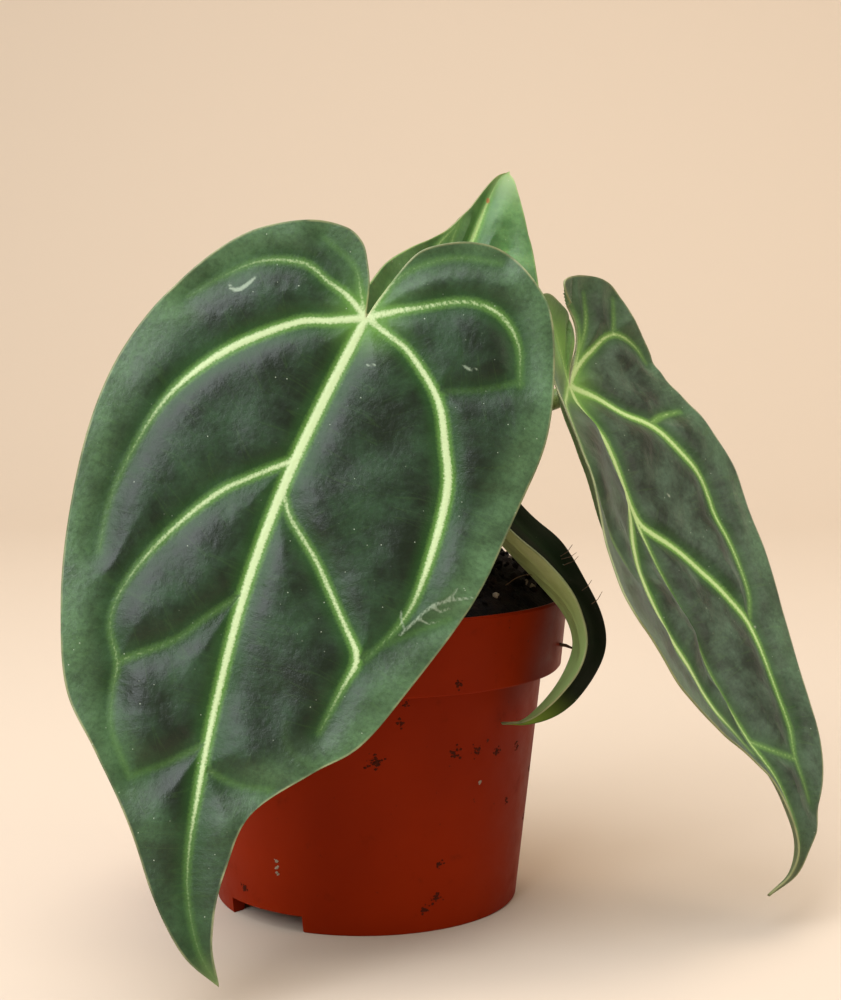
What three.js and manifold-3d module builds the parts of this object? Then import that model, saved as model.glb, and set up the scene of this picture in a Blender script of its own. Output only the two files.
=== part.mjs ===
// Young Anthurium regale in a 12 cm nursery pot: four leaves on their stalks, crown, soil, pot.
// Millimetres, +Z up. The pot's axis is x = 0, y = 0 and it stands on z = 0.
// The big front leaf hangs down in front of the pot, towards -Y.
import * as THREE from 'three'
import Module from 'manifold-3d'

const wasm = await Module()
wasm.setup()

// Pot: a tapered wall with a wider rim band, on a foot ring
const POT_HEIGHT = 92
const RIM_RADIUS = 60.5
const BAND_BOTTOM_RADIUS = 58.6
const BAND_BOTTOM_Z = 70.4
const NECK_RADIUS = 53
const FOOT_RADIUS = 45.3
const WALL = 1.2
const BAND_STEP = 1.4
const FOOT_RING = 3.8
const BASE_DISC_RADIUS = 20
const CHANNEL_Z = 4.5
const POT_SIDES = 48
const NOTCH_WIDTH = 28
const NOTCH_HEIGHT = 4.8
const NOTCH_TURN = -40
const NOTCH_COUNT = 2
const DRAIN_HOLES = 6
const DRAIN_RADIUS = 4
const DRAIN_CIRCLE = 31
const CUT_DEPTH = 12

// Soil: heaped above the rim, with a lumpy top
const SOIL_GAP = 0.3
const SOIL_EDGE_Z = 90.3
const SOIL_RISE = 16.5
const SOIL_LUMP = 1.3
const SOIL_ROUNDING = 3.4
const SOIL_SECTORS = 56
const SOIL_RINGS = 12

// Blades: thickness, the swelling of the panels between the veins, the ribs underneath
const BLADE_THICKNESS = 0.9
const PANEL_WIDTH = 5
const RIB_DEPTH = 0.9
const VEIN_SNAP = 2.3
const STALK_SIDES = 12
const STALK_STEPS = 15

// A leaf's spine is its midrib, from a point behind the stalk, past the stalk, to the tip.
// A leaf is laid out flat first: across is negative on the left half and positive on the right,
// as seen on its upper face with the tip down, and along runs from the stalk to the tip.
// Each half lists its edge from the notch at the stalk, round the lobe, to the tip.
// A vein lists its half, its half width and the points that it passes.
const frontLeaf = {
  name: 'leaf_front',
  spine: [
    [15.5, -59.5, 199.5], [2, -66, 173.5], [-10, -72, 150], [-19.5, -79, 129],
    [-28, -86.5, 105.5], [-34.5, -94, 80], [-39, -101, 56.5], [-41.5, -106, 36],
    [-39, -109, 19.5], [-33.5, -110, 9],
  ],
  facing: [0.05, -1, 0.2],
  fold: { left: [[0, 3]], right: [[0, 3]] },
  curl: { left: -0.15, right: -0.15 },
  wave: { height: 1, length: 46, start: 0.6 },
  panel: 1.6,
  halfWidth: 58,
  left: [
    [0, 0], [3, -8], [6, -13], [10, -17.5], [16, -19], [25.5, -16], [38, -5.5], [47, 12],
    [52.5, 32], [52, 52], [48, 76], [43, 95], [37, 112], [27, 124.5], [15, 140.5], [8.5, 155],
    [3.5, 171], [0, 180],
  ],
  right: [
    [0, 0], [0.8, -7], [3.5, -20], [8, -26], [16, -31], [25, -32.5], [35, -29], [43, -23],
    [50, -11], [55, 2], [57.5, 15], [58, 35], [57, 55], [54, 72], [47, 92], [38, 111],
    [27, 121], [14, 134], [9.5, 150], [4, 168], [0, 180],
  ],
  apex: { left: 4, right: 5 },
  shoulder: { left: 0.2, right: 0.2 },
  rows: { lobe: 8, blade: 38, across: 9 },
  veins: [
    ['left', 0.4, [[0, 0], [4, -5], [9, -11], [19, -14]]],
    ['left', 0.7, [[0, 0], [7, -3], [13, -4], [21, -5.5], [31, -1], [38, 7], [43.5, 15.5]]],
    ['left', 1, [[0, 0], [8, 5], [15, 9], [25, 19.5], [32, 29.5], [37, 41], [39.5, 56],
      [40, 68], [38.5, 79]]],
    ['left', 0.9, [[0, 42], [9, 51], [15.5, 58], [24.5, 73], [30, 86], [30.5, 95],
      [26.5, 103], [26, 110], [24, 119], [17.5, 129]]],
    ['left', 0.4, [[0, 79], [8, 88], [14, 95], [26.5, 103]]],
    ['left', 0.4, [[0, 118], [9, 124.5], [17.5, 129]]],
    ['right', 0.4, [[0, 0], [3, -14], [12.5, -24.5], [25, -29.5]]],
    ['right', 0.8, [[0, 0], [6, -5], [11.5, -9], [21.5, -16], [31, -17], [39, -12], [44, -2.5]]],
    ['right', 0.3, [[25, 10], [35, 4], [44, -2.5]]],
    ['right', 1, [[0, 0], [8, 1.5], [15, 3.5], [26.5, 11], [34, 22], [39, 32], [41.5, 47.5],
      [42, 66], [39.5, 77], [34, 88]]],
    ['right', 0.9, [[0, 50], [4, 56], [10.5, 61.5], [16.5, 67], [27, 80], [32, 88],
      [30, 97.5], [27, 110]]],
    ['right', 0.3, [[32, 88], [38, 82], [52, 68.5]]],
    ['right', 0.4, [[0, 124], [9, 127], [17.5, 127]]],
  ],
  stalk: [[-2, -9, 93], [-2.5, -12, 112], [-1.5, -30, 144]],
}

const rightLeaf = {
  name: 'leaf_right',
  spine: [
    [59, -7, 179], [59.5, -13, 154], [70.5, -17, 136], [79.5, -22, 112.5], [93, -27, 85],
    [106, -32, 59.5], [118.5, -35, 41], [124, -36, 26], [122.5, -37, 16], [116, -37, 9],
  ],
  facing: [0.87, -0.48, 0.3],
  fold: {
    left: [[-25, 2], [-6, 4], [8, 10], [25, 7], [50, 4], [100, 4], [166, 9]],
    right: [[0, 12]],
  },
  curl: { left: 0.2, right: 0 },
  wave: { height: 0.6, length: 38, start: 2 },
  panel: 2,
  halfWidth: 57,
  left: [
    [0, 0], [-1.5, -4], [-3.5, -10], [-3.5, -15], [-0.5, -19.5], [6, -22.5], [15, -24], [22, -21],
    [25.5, -14], [23, -6], [20, 1], [27, 10], [32, 18], [36.5, 25.5], [40.5, 35], [42, 44],
    [45.5, 53], [49.5, 61.5], [50, 69], [46, 75], [38.5, 89], [28.5, 99], [21, 107], [11, 117],
    [7, 127], [7, 136], [5.5, 147], [2, 158], [0, 166],
  ],
  right: [
    [0, 0], [3.5, -6], [5.5, -12], [5, -17.5], [2, -22.5], [-3.5, -26.5], [-5, -30], [1.5, -33],
    [9, -34.5], [16, -34.5], [22.5, -33], [28.5, -27.5], [39, -16], [45, -3], [48, 9],
    [52, 26], [57, 41], [55.5, 56], [50, 75], [44, 95], [34, 116], [24.5, 130], [12.5, 141],
    [5, 149], [2.5, 157], [0, 166],
  ],
  apex: { left: 6, right: 7 },
  shoulder: { left: 0.2, right: 0.2 },
  rows: { lobe: 8, blade: 35, across: 9 },
  veins: [
    ['left', 0.5, [[0, 0], [3, -8], [10, -17], [17, -19]]],
    ['left', 0.8, [[0, 0], [8, 5], [17, 12], [25, 22], [30, 34], [32, 48], [31, 62],
      [27, 76]]],
    ['left', 0.9, [[0, 38], [2, 44], [13, 55], [19, 70], [17, 82], [13, 95], [8, 107],
      [3, 120]]],
    ['left', 0.4, [[0, 0], [-0.5, -5], [-2, -11], [-2, -16]]],
    ['right', 0.4, [[0, 0], [4.5, -6], [6.5, -12], [6, -18], [3, -23], [0, -28]]],
    ['right', 0.4, [[0, 0], [7, -12], [9, -20], [8, -29]]],
    ['right', 0.8, [[0, 0], [6, -6], [12, -11], [22, -18.5], [33, -16], [40, -8]]],
    ['right', 0.4, [[22, -18.5], [23, -24], [23, -29]]],
    ['right', 1, [[0, 0], [10, 5], [17.5, 13], [25.5, 19], [32, 26.5], [40, 39], [39, 54],
      [38, 68], [36, 78], [31, 84.5]]],
    ['right', 0.4, [[25.5, 19], [34.5, 17.5], [44.5, 18]]],
    ['right', 0.9, [[0, 40], [2, 46.5], [11, 55], [18.5, 65], [24.5, 75.5], [29, 86],
      [28, 98], [25, 108.5], [20, 119.5], [13.5, 127.5], [10.5, 138]]],
    ['right', 0.4, [[0, 115], [7, 122], [13.5, 127.5]]],
  ],
  stalk: [[8, 2, 93], [11, 3, 112], [29, 3, 140]],
}

const backLeaf = {
  name: 'leaf_back',
  spine: [
    [-1.5, 19, 122], [5, 30, 135], [20, 56, 165], [33.5, 76, 199.5], [42, 86, 219.2],
    [46.8, 89, 223.6],
  ],
  facing: [0.55, -0.65, 0.52],
  fold: { left: [[0, 20]], right: [[0, 20]] },
  curl: { left: 0, right: 0 },
  wave: { height: 0.8, length: 34, start: 0 },
  panel: 1.2,
  halfWidth: 36,
  left: [
    [0, 0], [2, -6], [6, -12], [13, -16], [22, -14], [29, -6], [33, 6], [35.5, 20], [36, 36],
    [34.5, 52], [30, 68], [24, 82], [19, 92], [13, 102], [5.5, 111.5], [0, 115],
  ],
  right: [
    [0, 0], [2, -6], [7, -13], [14, -17], [23, -15], [29, -6], [32.5, 6], [34, 20], [34, 38],
    [31, 52], [24.5, 64], [17, 73.5], [11, 82], [6.8, 92], [3.4, 103], [0, 115],
  ],
  apex: { left: 3, right: 3 },
  shoulder: { left: 0.2, right: 0.2 },
  rows: { lobe: 5, blade: 22, across: 6 },
  veins: [
    ['left', 0.7, [[0, 0], [8, 2], [16, 9], [22, 20], [25, 34], [25, 48]]],
    ['left', 0.5, [[0, 0], [9, -6], [18, -7], [26, 2]]],
    ['left', 0.6, [[0, 30], [7, 38], [14, 50], [17, 62], [16, 74]]],
    ['left', 0.4, [[0, 58], [6, 66], [11, 76], [12, 86]]],
    ['right', 0.7, [[0, 0], [8, 2], [16, 9], [23, 20], [26, 34], [26, 48]]],
    ['right', 0.5, [[0, 0], [9, -6], [19, -8], [27, 2]]],
    ['right', 0.6, [[0, 34], [7, 42], [14, 52], [17, 62], [14, 74]]],
    ['right', 0.4, [[0, 62], [5, 70], [8, 78], [8, 88]]],
  ],
  stalk: [[1, 9, 93], [0.5, 15, 110], [0, 30, 124]],
}

const smallLeaf = {
  name: 'leaf_small',
  spine: [
    [14, -20, 133], [22.3, -22, 127.5], [31, -24, 121.5], [41, -27, 109.5], [49.8, -30, 100.5],
    [57.8, -32, 91], [60.8, -34, 82.5], [58.8, -36, 75], [53.4, -37, 66.5], [46, -38, 60],
    [39.2, -38.5, 59.5],
  ],
  facing: [0.985, -0.17, 0],
  fold: { left: [[0, 15]], right: [[0, 22]] },
  curl: { left: 0, right: 0 },
  wave: { height: 0.4, length: 30, start: 0 },
  panel: 0.6,
  halfWidth: 22,
  left: [
    [0, 0], [2, -4], [6, -7.5], [11, -7], [14.5, -1], [16, 8], [17, 18], [19, 29], [21, 38],
    [21.5, 45], [19.5, 51], [15.5, 57], [13, 64], [12, 71], [9, 79], [4.5, 86], [0, 92],
  ],
  right: [
    [0, 0], [2, -4], [6, -8], [11, -7], [15, -1], [19, 8], [22, 18], [24, 26], [24.5, 33],
    [23, 40], [21, 48], [19, 56], [16.5, 64], [13, 72], [9, 80], [4, 87], [0, 92],
  ],
  apex: { left: 2, right: 2 },
  shoulder: { left: 0.14, right: 0.14 },
  rows: { lobe: 3, blade: 26, across: 4 },
  veins: [
    ['left', 0.5, [[0, 0], [6, 6], [10, 16], [12, 28], [12, 42]]],
    ['left', 0.4, [[0, 30], [6, 40], [9, 50], [8, 62]]],
    ['right', 0.5, [[0, 0], [6, 6], [11, 16], [14, 28], [13, 42]]],
    ['right', 0.4, [[0, 30], [6, 40], [10, 50], [9, 62]]],
  ],
  stalk: [[5.5, -8, 93], [8, -11, 106]],
}

const leaves = [frontLeaf, rightLeaf, backLeaf, smallLeaf]

// Shared helpers

// A smooth line through the points, with the same number of steps in each span
function lineThrough(points, steps) {
  const last = points.length - 1
  const size = points[0].length
  const at = (i) => {
    if (i < 0) return points[0].map((v, k) => 2 * v - points[1][k])
    if (i > last) return points[last].map((v, k) => 2 * v - points[last - 1][k])
    return points[i]
  }
  const out = []
  for (let i = 0; i < last; i++) {
    const [a, b, c, d] = [at(i - 1), at(i), at(i + 1), at(i + 2)]
    for (let j = 0; j < steps; j++) {
      const u = j / steps
      const p = []
      for (let k = 0; k < size; k++) {
        const cubic = -a[k] + 3 * b[k] - 3 * c[k] + d[k]
        const square = 2 * a[k] - 5 * b[k] + 4 * c[k] - d[k]
        p.push(0.5 * (2 * b[k] + (c[k] - a[k]) * u + square * u * u + cubic * u * u * u))
      }
      out.push(p)
    }
  }
  out.push([...points[last]])
  return out
}

// Running length at each point of a line
function lengthsOf(line) {
  const out = [0]
  for (let i = 1; i < line.length; i++) {
    const step = Math.hypot(...line[i].map((v, k) => v - line[i - 1][k]))
    out.push(out[i - 1] + step)
  }
  return out
}

// The point at a running length, by straight steps
function pointAt(line, lengths, length) {
  let i = 1
  while (i < line.length - 1 && lengths[i] < length) i++
  const u = (length - lengths[i - 1]) / (lengths[i] - lengths[i - 1])
  return line[i].map((v, k) => line[i - 1][k] + (v - line[i - 1][k]) * u)
}

// Points at even lengths from one end of a line to the other
function evenPoints(line, count) {
  const lengths = lengthsOf(line)
  const total = lengths[lengths.length - 1]
  const out = []
  for (let i = 0; i <= count; i++) out.push(pointAt(line, lengths, (total * i) / count))
  return out
}

// One closed body from triangles of points: equal points are shared, empty triangles dropped
function closedBody(triangles) {
  const numbers = new Map()
  const positions = []
  const index = []
  const numberOf = (p) => {
    const key = p.map((v) => Math.round(v * 1e4)).join(' ')
    if (!numbers.has(key)) {
      numbers.set(key, numbers.size)
      positions.push(...p)
    }
    return numbers.get(key)
  }
  for (const triangle of triangles) {
    const [a, b, c] = triangle.map(numberOf)
    if (a !== b && b !== c && c !== a) index.push(a, b, c)
  }
  const body = new wasm.Mesh({
    numProp: 3,
    vertProperties: new Float32Array(positions),
    triVerts: new Uint32Array(index),
  })
  return new wasm.Manifold(body)
}

// A closed body from one of three's geometries
function bodyOf(geometry) {
  const place = geometry.getAttribute('position')
  const corners = geometry.index ? [...geometry.index.array] : [...Array(place.count).keys()]
  const triangles = []
  for (let i = 0; i < corners.length; i += 3) {
    triangles.push(corners.slice(i, i + 3).map((k) => [place.getX(k), place.getY(k), place.getZ(k)]))
  }
  return closedBody(triangles)
}

// A body turned about the Z axis from a profile of [radius, height]
function lathed(profile, sides) {
  const points = profile.map(([r, z]) => new THREE.Vector2(r, z))
  return bodyOf(new THREE.LatheGeometry(points, sides).rotateX(Math.PI / 2))
}

function addPart(group, name, body, material) {
  const mesh = body.getMesh()
  const geometry = new THREE.BufferGeometry()
  geometry.setAttribute('position', new THREE.BufferAttribute(mesh.vertProperties, 3))
  geometry.setIndex(new THREE.BufferAttribute(mesh.triVerts, 1))
  geometry.computeVertexNormals()
  const part = new THREE.Mesh(geometry, material)
  part.name = name
  group.add(part)
}

// Leaves

// The rows across a blade are square to the midrib as it runs over this length to either side
const TURN_SPAN = 20

// The midrib in space, with its running lengths and its direction
function prepareLeaf(leaf) {
  const steps = 24
  const line = lineThrough(leaf.spine, steps)
  const fromStart = lengthsOf(line)
  leaf.line = line
  leaf.lengths = fromStart.map((length) => length - fromStart[steps])
  leaf.length = leaf.lengths[line.length - 1]
  leaf.direction = leaf.lengths.map((length) => {
    const start = Math.max(leaf.lengths[0], length - TURN_SPAN)
    const end = Math.min(leaf.length, length + TURN_SPAN)
    const a = new THREE.Vector3(...pointAt(line, leaf.lengths, start))
    const b = new THREE.Vector3(...pointAt(line, leaf.lengths, end))
    return b.sub(a).normalize().toArray()
  })
  leaf.veinLines = leaf.veins.map(([half, width, points]) => ({
    side: half === 'left' ? -1 : 1,
    width,
    line: lineThrough(points, 4),
  }))
  leaf.veinLines.push({ side: 0, width: 1.3, line: [[0, 0], [0, leaf.length]] })
}

// A value listed at some places along the leaf, with soft steps from one to the next
function alongLeaf(places, along) {
  let value = places[0][1]
  for (let i = 1; i < places.length; i++) {
    const u = (along - places[i - 1][0]) / (places[i][0] - places[i - 1][0])
    value += (places[i][1] - places[i - 1][1]) * THREE.MathUtils.smoothstep(u, 0, 1)
  }
  return value
}

// From the flat leaf to space: folded at the midrib, curled across, and lifted off its face.
// The midrib's line starts behind the stalk, where it carries the lobes.
function leafPoint(leaf, across, along, lift) {
  const inside = Math.min(Math.max(along, leaf.lengths[0]), leaf.length)
  const centre = new THREE.Vector3(...pointAt(leaf.line, leaf.lengths, inside))
  const ahead = new THREE.Vector3(...pointAt(leaf.direction, leaf.lengths, inside)).normalize()
  centre.addScaledVector(ahead, along - inside)
  const sideways = new THREE.Vector3(...leaf.facing).cross(ahead).normalize()
  const up = new THREE.Vector3().crossVectors(ahead, sideways)
  const side = across < 0 ? -1 : 1
  const width = Math.abs(across)
  const half = side < 0 ? 'left' : 'right'
  const fold = THREE.MathUtils.degToRad(alongLeaf(leaf.fold[half], along))
  const curl = THREE.MathUtils.degToRad(leaf.curl[half] || 0.001)
  const out = (Math.sin(fold + curl * width) - Math.sin(fold)) / curl
  const rise = (Math.cos(fold) - Math.cos(fold + curl * width)) / curl
  const lean = (fold + curl * width) * Math.min(1, width / 3)
  return centre
    .addScaledVector(sideways, side * (out - Math.sin(lean) * lift))
    .addScaledVector(up, rise + Math.cos(lean) * lift)
    .toArray()
}

// The nearest vein: how far it is, where, and how wide
function nearestVein(leaf, across, along) {
  let best = { distance: Infinity }
  for (const { side, width, line } of leaf.veinLines) {
    if (side !== 0 && side * across < 0) continue
    for (let i = 1; i < line.length; i++) {
      const [ax, ay] = line[i - 1]
      const [bx, by] = line[i]
      const px = Math.abs(across) - ax
      const py = along - ay
      const square = (bx - ax) ** 2 + (by - ay) ** 2
      const u = Math.min(1, Math.max(0, (px * (bx - ax) + py * (by - ay)) / square))
      const distance = Math.hypot(px - u * (bx - ax), py - u * (by - ay))
      if (distance < best.distance) {
        best = { distance, width, side, at: [ax + u * (bx - ax), ay + u * (by - ay)] }
      }
    }
  }
  return best
}

// Rows of flat points on one half, each from the inner edge to the outer one.
// The inner edge is the lobe's side of the notch and then the midrib.
function halfRows(leaf, half) {
  const side = half === 'left' ? -1 : 1
  const { lobe, blade, across } = leaf.rows
  const steps = 10
  const edge = lineThrough(leaf[half], steps)
  const apex = leaf.apex[half] * steps
  const notch = evenPoints(edge.slice(0, apex + 1), lobe).reverse()
  const outer = edge.slice(apex)
  const lengths = lengthsOf(outer)
  const total = lengths[lengths.length - 1]
  const shoulder = total * leaf.shoulder[half]
  const rows = []
  for (let i = 0; i <= lobe + blade; i++) {
    const down = (i - lobe) / blade
    const inner = i <= lobe ? notch[i] : [0, leaf.length * down]
    const reach = i <= lobe ? (shoulder * i) / lobe : shoulder + (total - shoulder) * down
    const far = i === lobe + blade ? [0, leaf.length] : pointAt(outer, lengths, reach)
    const row = []
    for (let j = 0; j <= across; j++) {
      const u = j / across
      row.push([inner[0] + (far[0] - inner[0]) * u, inner[1] + (far[1] - inner[1]) * u])
    }
    rows.push(row)
  }
  const taken = []
  for (let i = 1; i < rows.length - 1; i++) {
    for (let j = 1; j < across; j++) {
      const point = rows[i][j]
      const { distance, at } = nearestVein(leaf, side * point[0], point[1])
      const cell = Math.hypot(rows[i][across][0] - rows[i][0][0], rows[i][across][1] - rows[i][0][1])
      const reach = Math.min(VEIN_SNAP, (0.4 * cell) / across)
      const free = taken.every((p) => Math.hypot(p[0] - at[0], p[1] - at[1]) > 1.6)
      if (distance > reach || at[0] < 0.5 || !free) continue
      rows[i][j] = at
      taken.push(at)
    }
  }
  return rows.map((row) => row.map(([t, s]) => [side * t, s]))
}

// Height of the upper face: panels swell between the veins and the edge waves
function faceLift(leaf, across, along, distance) {
  const { height, length, start } = leaf.wave
  const swell = leaf.panel * (1 - Math.exp(-((distance / PANEL_WIDTH) ** 2)))
  const nearEdge = (Math.abs(across) / leaf.halfWidth) ** 2
  return swell + height * nearEdge * Math.sin((2 * Math.PI * along) / length + start)
}

function bladeBody(leaf) {
  const triangles = []
  for (const half of ['left', 'right']) {
    const side = half === 'left' ? -1 : 1
    const flat = halfRows(leaf, half)
    const top = []
    const bottom = []
    for (const row of flat) {
      const face = row.map(([across, along]) => {
        const { distance, width } = nearestVein(leaf, across, along)
        const lift = faceLift(leaf, across, along, distance)
        const rib = RIB_DEPTH * width * Math.exp(-(distance ** 2))
        return [
          leafPoint(leaf, across, along, lift),
          leafPoint(leaf, across, along, lift - BLADE_THICKNESS - rib),
        ]
      })
      top.push(face.map((pair) => pair[0]))
      bottom.push(face.map((pair) => pair[1]))
    }
    const add = (a, b, c, turned) => {
      if ((side > 0) !== turned) triangles.push([a, b, c])
      else triangles.push([a, c, b])
    }
    const last = leaf.rows.across
    for (let i = 0; i < flat.length - 1; i++) {
      for (let j = 0; j < last; j++) {
        const straight = Math.hypot(
          flat[i][j][0] - flat[i + 1][j + 1][0],
          flat[i][j][1] - flat[i + 1][j + 1][1],
        )
        const crossed = Math.hypot(
          flat[i + 1][j][0] - flat[i][j + 1][0],
          flat[i + 1][j][1] - flat[i][j + 1][1],
        )
        for (const [face, turned] of [[top, false], [bottom, true]]) {
          const [p, q] = [face[i][j], face[i + 1][j]]
          const [r, s] = [face[i + 1][j + 1], face[i][j + 1]]
          if (straight < crossed) {
            add(p, q, r, turned)
            add(p, r, s, turned)
          } else {
            add(p, q, s, turned)
            add(q, r, s, turned)
          }
        }
      }
      add(bottom[i][last], top[i][last], top[i + 1][last], false)
      add(bottom[i][last], top[i + 1][last], bottom[i + 1][last], false)
      if (i < leaf.rows.lobe) {
        add(bottom[i][0], top[i][0], top[i + 1][0], true)
        add(bottom[i][0], top[i + 1][0], bottom[i + 1][0], true)
      }
    }
  }
  return closedBody(triangles)
}

// A round stalk along a line, with a radius at each of its points
function stalkBody(points, radii) {
  const rounds = lineThrough(points.map((p, i) => [...p, radii[i]]), STALK_STEPS)
  const stations = evenPoints(rounds, STALK_STEPS)
  const triangles = []
  let side = new THREE.Vector3(1, 0, 0)
  const rings = stations.map((station, i) => {
    const a = stations[Math.max(0, i - 1)]
    const b = stations[Math.min(stations.length - 1, i + 1)]
    const ahead = new THREE.Vector3(b[0] - a[0], b[1] - a[1], b[2] - a[2]).normalize()
    side = side.clone().addScaledVector(ahead, -side.dot(ahead)).normalize()
    const other = new THREE.Vector3().crossVectors(ahead, side)
    const ring = []
    for (let k = 0; k < STALK_SIDES; k++) {
      const turn = (2 * Math.PI * k) / STALK_SIDES
      const p = new THREE.Vector3(station[0], station[1], station[2])
      p.addScaledVector(side, station[3] * Math.cos(turn))
      p.addScaledVector(other, station[3] * Math.sin(turn))
      ring.push(p.toArray())
    }
    return ring
  })
  const first = stations[0].slice(0, 3)
  const end = stations[stations.length - 1].slice(0, 3)
  for (let k = 0; k < STALK_SIDES; k++) {
    const next = (k + 1) % STALK_SIDES
    for (let i = 0; i < rings.length - 1; i++) {
      triangles.push([rings[i][k], rings[i][next], rings[i + 1][next]])
      triangles.push([rings[i][k], rings[i + 1][next], rings[i + 1][k]])
    }
    triangles.push([first, rings[0][next], rings[0][k]])
    triangles.push([end, rings[rings.length - 1][k], rings[rings.length - 1][next]])
  }
  return closedBody(triangles)
}

// The stalk thickens to a knee behind the blade and ends inside the blade's thickness
const STALK_RADIUS = 2.2
const KNEE_RADIUS = 2.9
const KNEE_LENGTH = 9
const KNEE_ALONG = 2

function stalkLine(leaf) {
  const knee = leafPoint(leaf, 0, KNEE_ALONG, -KNEE_LENGTH)
  const neck = leafPoint(leaf, 0, KNEE_ALONG, -3)
  const end = leafPoint(leaf, 0, KNEE_ALONG, -0.5)
  return [...leaf.stalk, knee, neck, end]
}

function stalkRadii(leaf) {
  return [...leaf.stalk.map(() => STALK_RADIUS), KNEE_RADIUS, KNEE_RADIUS - 0.3, 1]
}

// Pot

const channelInner = BASE_DISC_RADIUS + 1.5
const channelOuter = FOOT_RADIUS - FOOT_RING - 1.5
const floorZ = CHANNEL_Z + WALL
const wallAt = (z) => FOOT_RADIUS + ((NECK_RADIUS - FOOT_RADIUS) * z) / BAND_BOTTOM_Z
const stepZ = BAND_BOTTOM_Z + BAND_STEP

const potProfile = [
  [0, 0],
  [BASE_DISC_RADIUS, 0],
  [channelInner, CHANNEL_Z],
  [channelOuter, CHANNEL_Z],
  [FOOT_RADIUS - FOOT_RING, 0],
  [FOOT_RADIUS - 0.4, 0],
  [FOOT_RADIUS, 0.5],
  [NECK_RADIUS, BAND_BOTTOM_Z],
  [BAND_BOTTOM_RADIUS - 0.5, BAND_BOTTOM_Z],
  [BAND_BOTTOM_RADIUS, BAND_BOTTOM_Z + 0.6],
  [RIM_RADIUS, POT_HEIGHT - 0.7],
  [RIM_RADIUS - 0.4, POT_HEIGHT],
  [RIM_RADIUS - WALL + 0.3, POT_HEIGHT],
  [RIM_RADIUS - WALL, POT_HEIGHT - 0.5],
  [BAND_BOTTOM_RADIUS - WALL, stepZ],
  [NECK_RADIUS - WALL, stepZ],
  [wallAt(floorZ) - WALL, floorZ],
  [channelInner - 0.8, floorZ],
  [BASE_DISC_RADIUS - 0.8, WALL],
  [0, WALL],
]

function potBody() {
  let pot = lathed(potProfile, POT_SIDES)
  for (let i = 0; i < NOTCH_COUNT; i++) {
    const notch = new THREE.BoxGeometry(NOTCH_WIDTH, CUT_DEPTH, NOTCH_HEIGHT + 1)
      .translate(0, -(FOOT_RADIUS - 1), (NOTCH_HEIGHT - 1) / 2)
      .rotateZ(THREE.MathUtils.degToRad(NOTCH_TURN + (360 * i) / NOTCH_COUNT))
    pot = pot.subtract(bodyOf(notch))
  }
  for (let i = 0; i < DRAIN_HOLES; i++) {
    const hole = new THREE.CylinderGeometry(DRAIN_RADIUS, DRAIN_RADIUS, CUT_DEPTH, 10)
      .rotateX(Math.PI / 2)
      .translate(0, DRAIN_CIRCLE, CHANNEL_Z)
      .rotateZ((2 * Math.PI * i) / DRAIN_HOLES)
    pot = pot.subtract(bodyOf(hole))
  }
  return pot
}

// Soil

function soilHeight(x, y) {
  const r = Math.hypot(x, y) / (RIM_RADIUS - WALL)
  const heap = SOIL_EDGE_Z + SOIL_RISE * (1 - Math.min(1, r) ** SOIL_ROUNDING)
  const broad = Math.sin(x * 0.16 + 1.3) * Math.cos(y * 0.19 - 0.4)
  const fine = Math.sin(x * 0.51 - y * 0.23 + 2) * Math.sin(y * 0.47 + x * 0.17)
  return heap + SOIL_LUMP * (0.6 * broad + 0.5 * fine) * (1 - 0.6 * Math.min(1, r) ** 6)
}

function soilBody() {
  const edge = BAND_BOTTOM_RADIUS - WALL - SOIL_GAP
  const slope = (RIM_RADIUS - BAND_BOTTOM_RADIUS) / (POT_HEIGHT - BAND_BOTTOM_Z)
  const top = edge + slope * (SOIL_EDGE_Z - stepZ) - 0.1
  const rings = []
  for (let i = 0; i <= SOIL_RINGS; i++) rings.push(top * (i / SOIL_RINGS) ** 0.85)
  const low = floorZ + SOIL_GAP
  const below = [
    [edge - 0.1, stepZ + SOIL_GAP],
    [NECK_RADIUS - WALL - SOIL_GAP, stepZ + SOIL_GAP],
    [wallAt(low) - WALL - SOIL_GAP, low],
    [channelInner - 0.8 - SOIL_GAP, low],
    [BASE_DISC_RADIUS - 0.8 - SOIL_GAP, WALL + SOIL_GAP],
    [0, WALL + SOIL_GAP],
  ]
  const at = (ring, k) => {
    const turn = (2 * Math.PI * (k % SOIL_SECTORS)) / SOIL_SECTORS
    if (ring >= rings.length) {
      const [r, z] = below[ring - rings.length]
      return r === 0 ? [0, 0, z] : [r * Math.cos(turn), r * Math.sin(turn), z]
    }
    const r = rings[ring]
    if (r === 0) return [0, 0, soilHeight(0, 0)]
    const [x, y] = [r * Math.cos(turn), r * Math.sin(turn)]
    return [x, y, soilHeight(x, y)]
  }
  const triangles = []
  for (let i = 0; i < rings.length + below.length - 1; i++) {
    for (let k = 0; k < SOIL_SECTORS; k++) {
      const [a, b] = [at(i, k), at(i, k + 1)]
      const [c, d] = [at(i + 1, k + 1), at(i + 1, k)]
      triangles.push([a, c, b], [a, d, c])
    }
  }
  return closedBody(triangles)
}

// Crown: the short rooted stem that the stalks rise from, with its brown tip

const CROWN_ROOT_Z = 90
const CROWN_TOP_Z = 111
const CROWN_SIDES = 14
const crownProfile = [
  [0, CROWN_ROOT_Z],
  [4.2, CROWN_ROOT_Z],
  [5.2, 102],
  [4.8, 106],
  [3.2, 109],
  [1.2, CROWN_TOP_Z],
  [0, CROWN_TOP_Z],
]

function grown(profile, gap) {
  const last = profile.length - 1
  return profile.map(([r, z], i) => [
    r === 0 ? 0 : r + gap,
    i < 2 ? z - gap : i > last - 2 ? z + gap + 4 : z,
  ])
}

// Everything together

const group = new THREE.Group()
group.name = 'potted_anthurium_regale'

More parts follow.
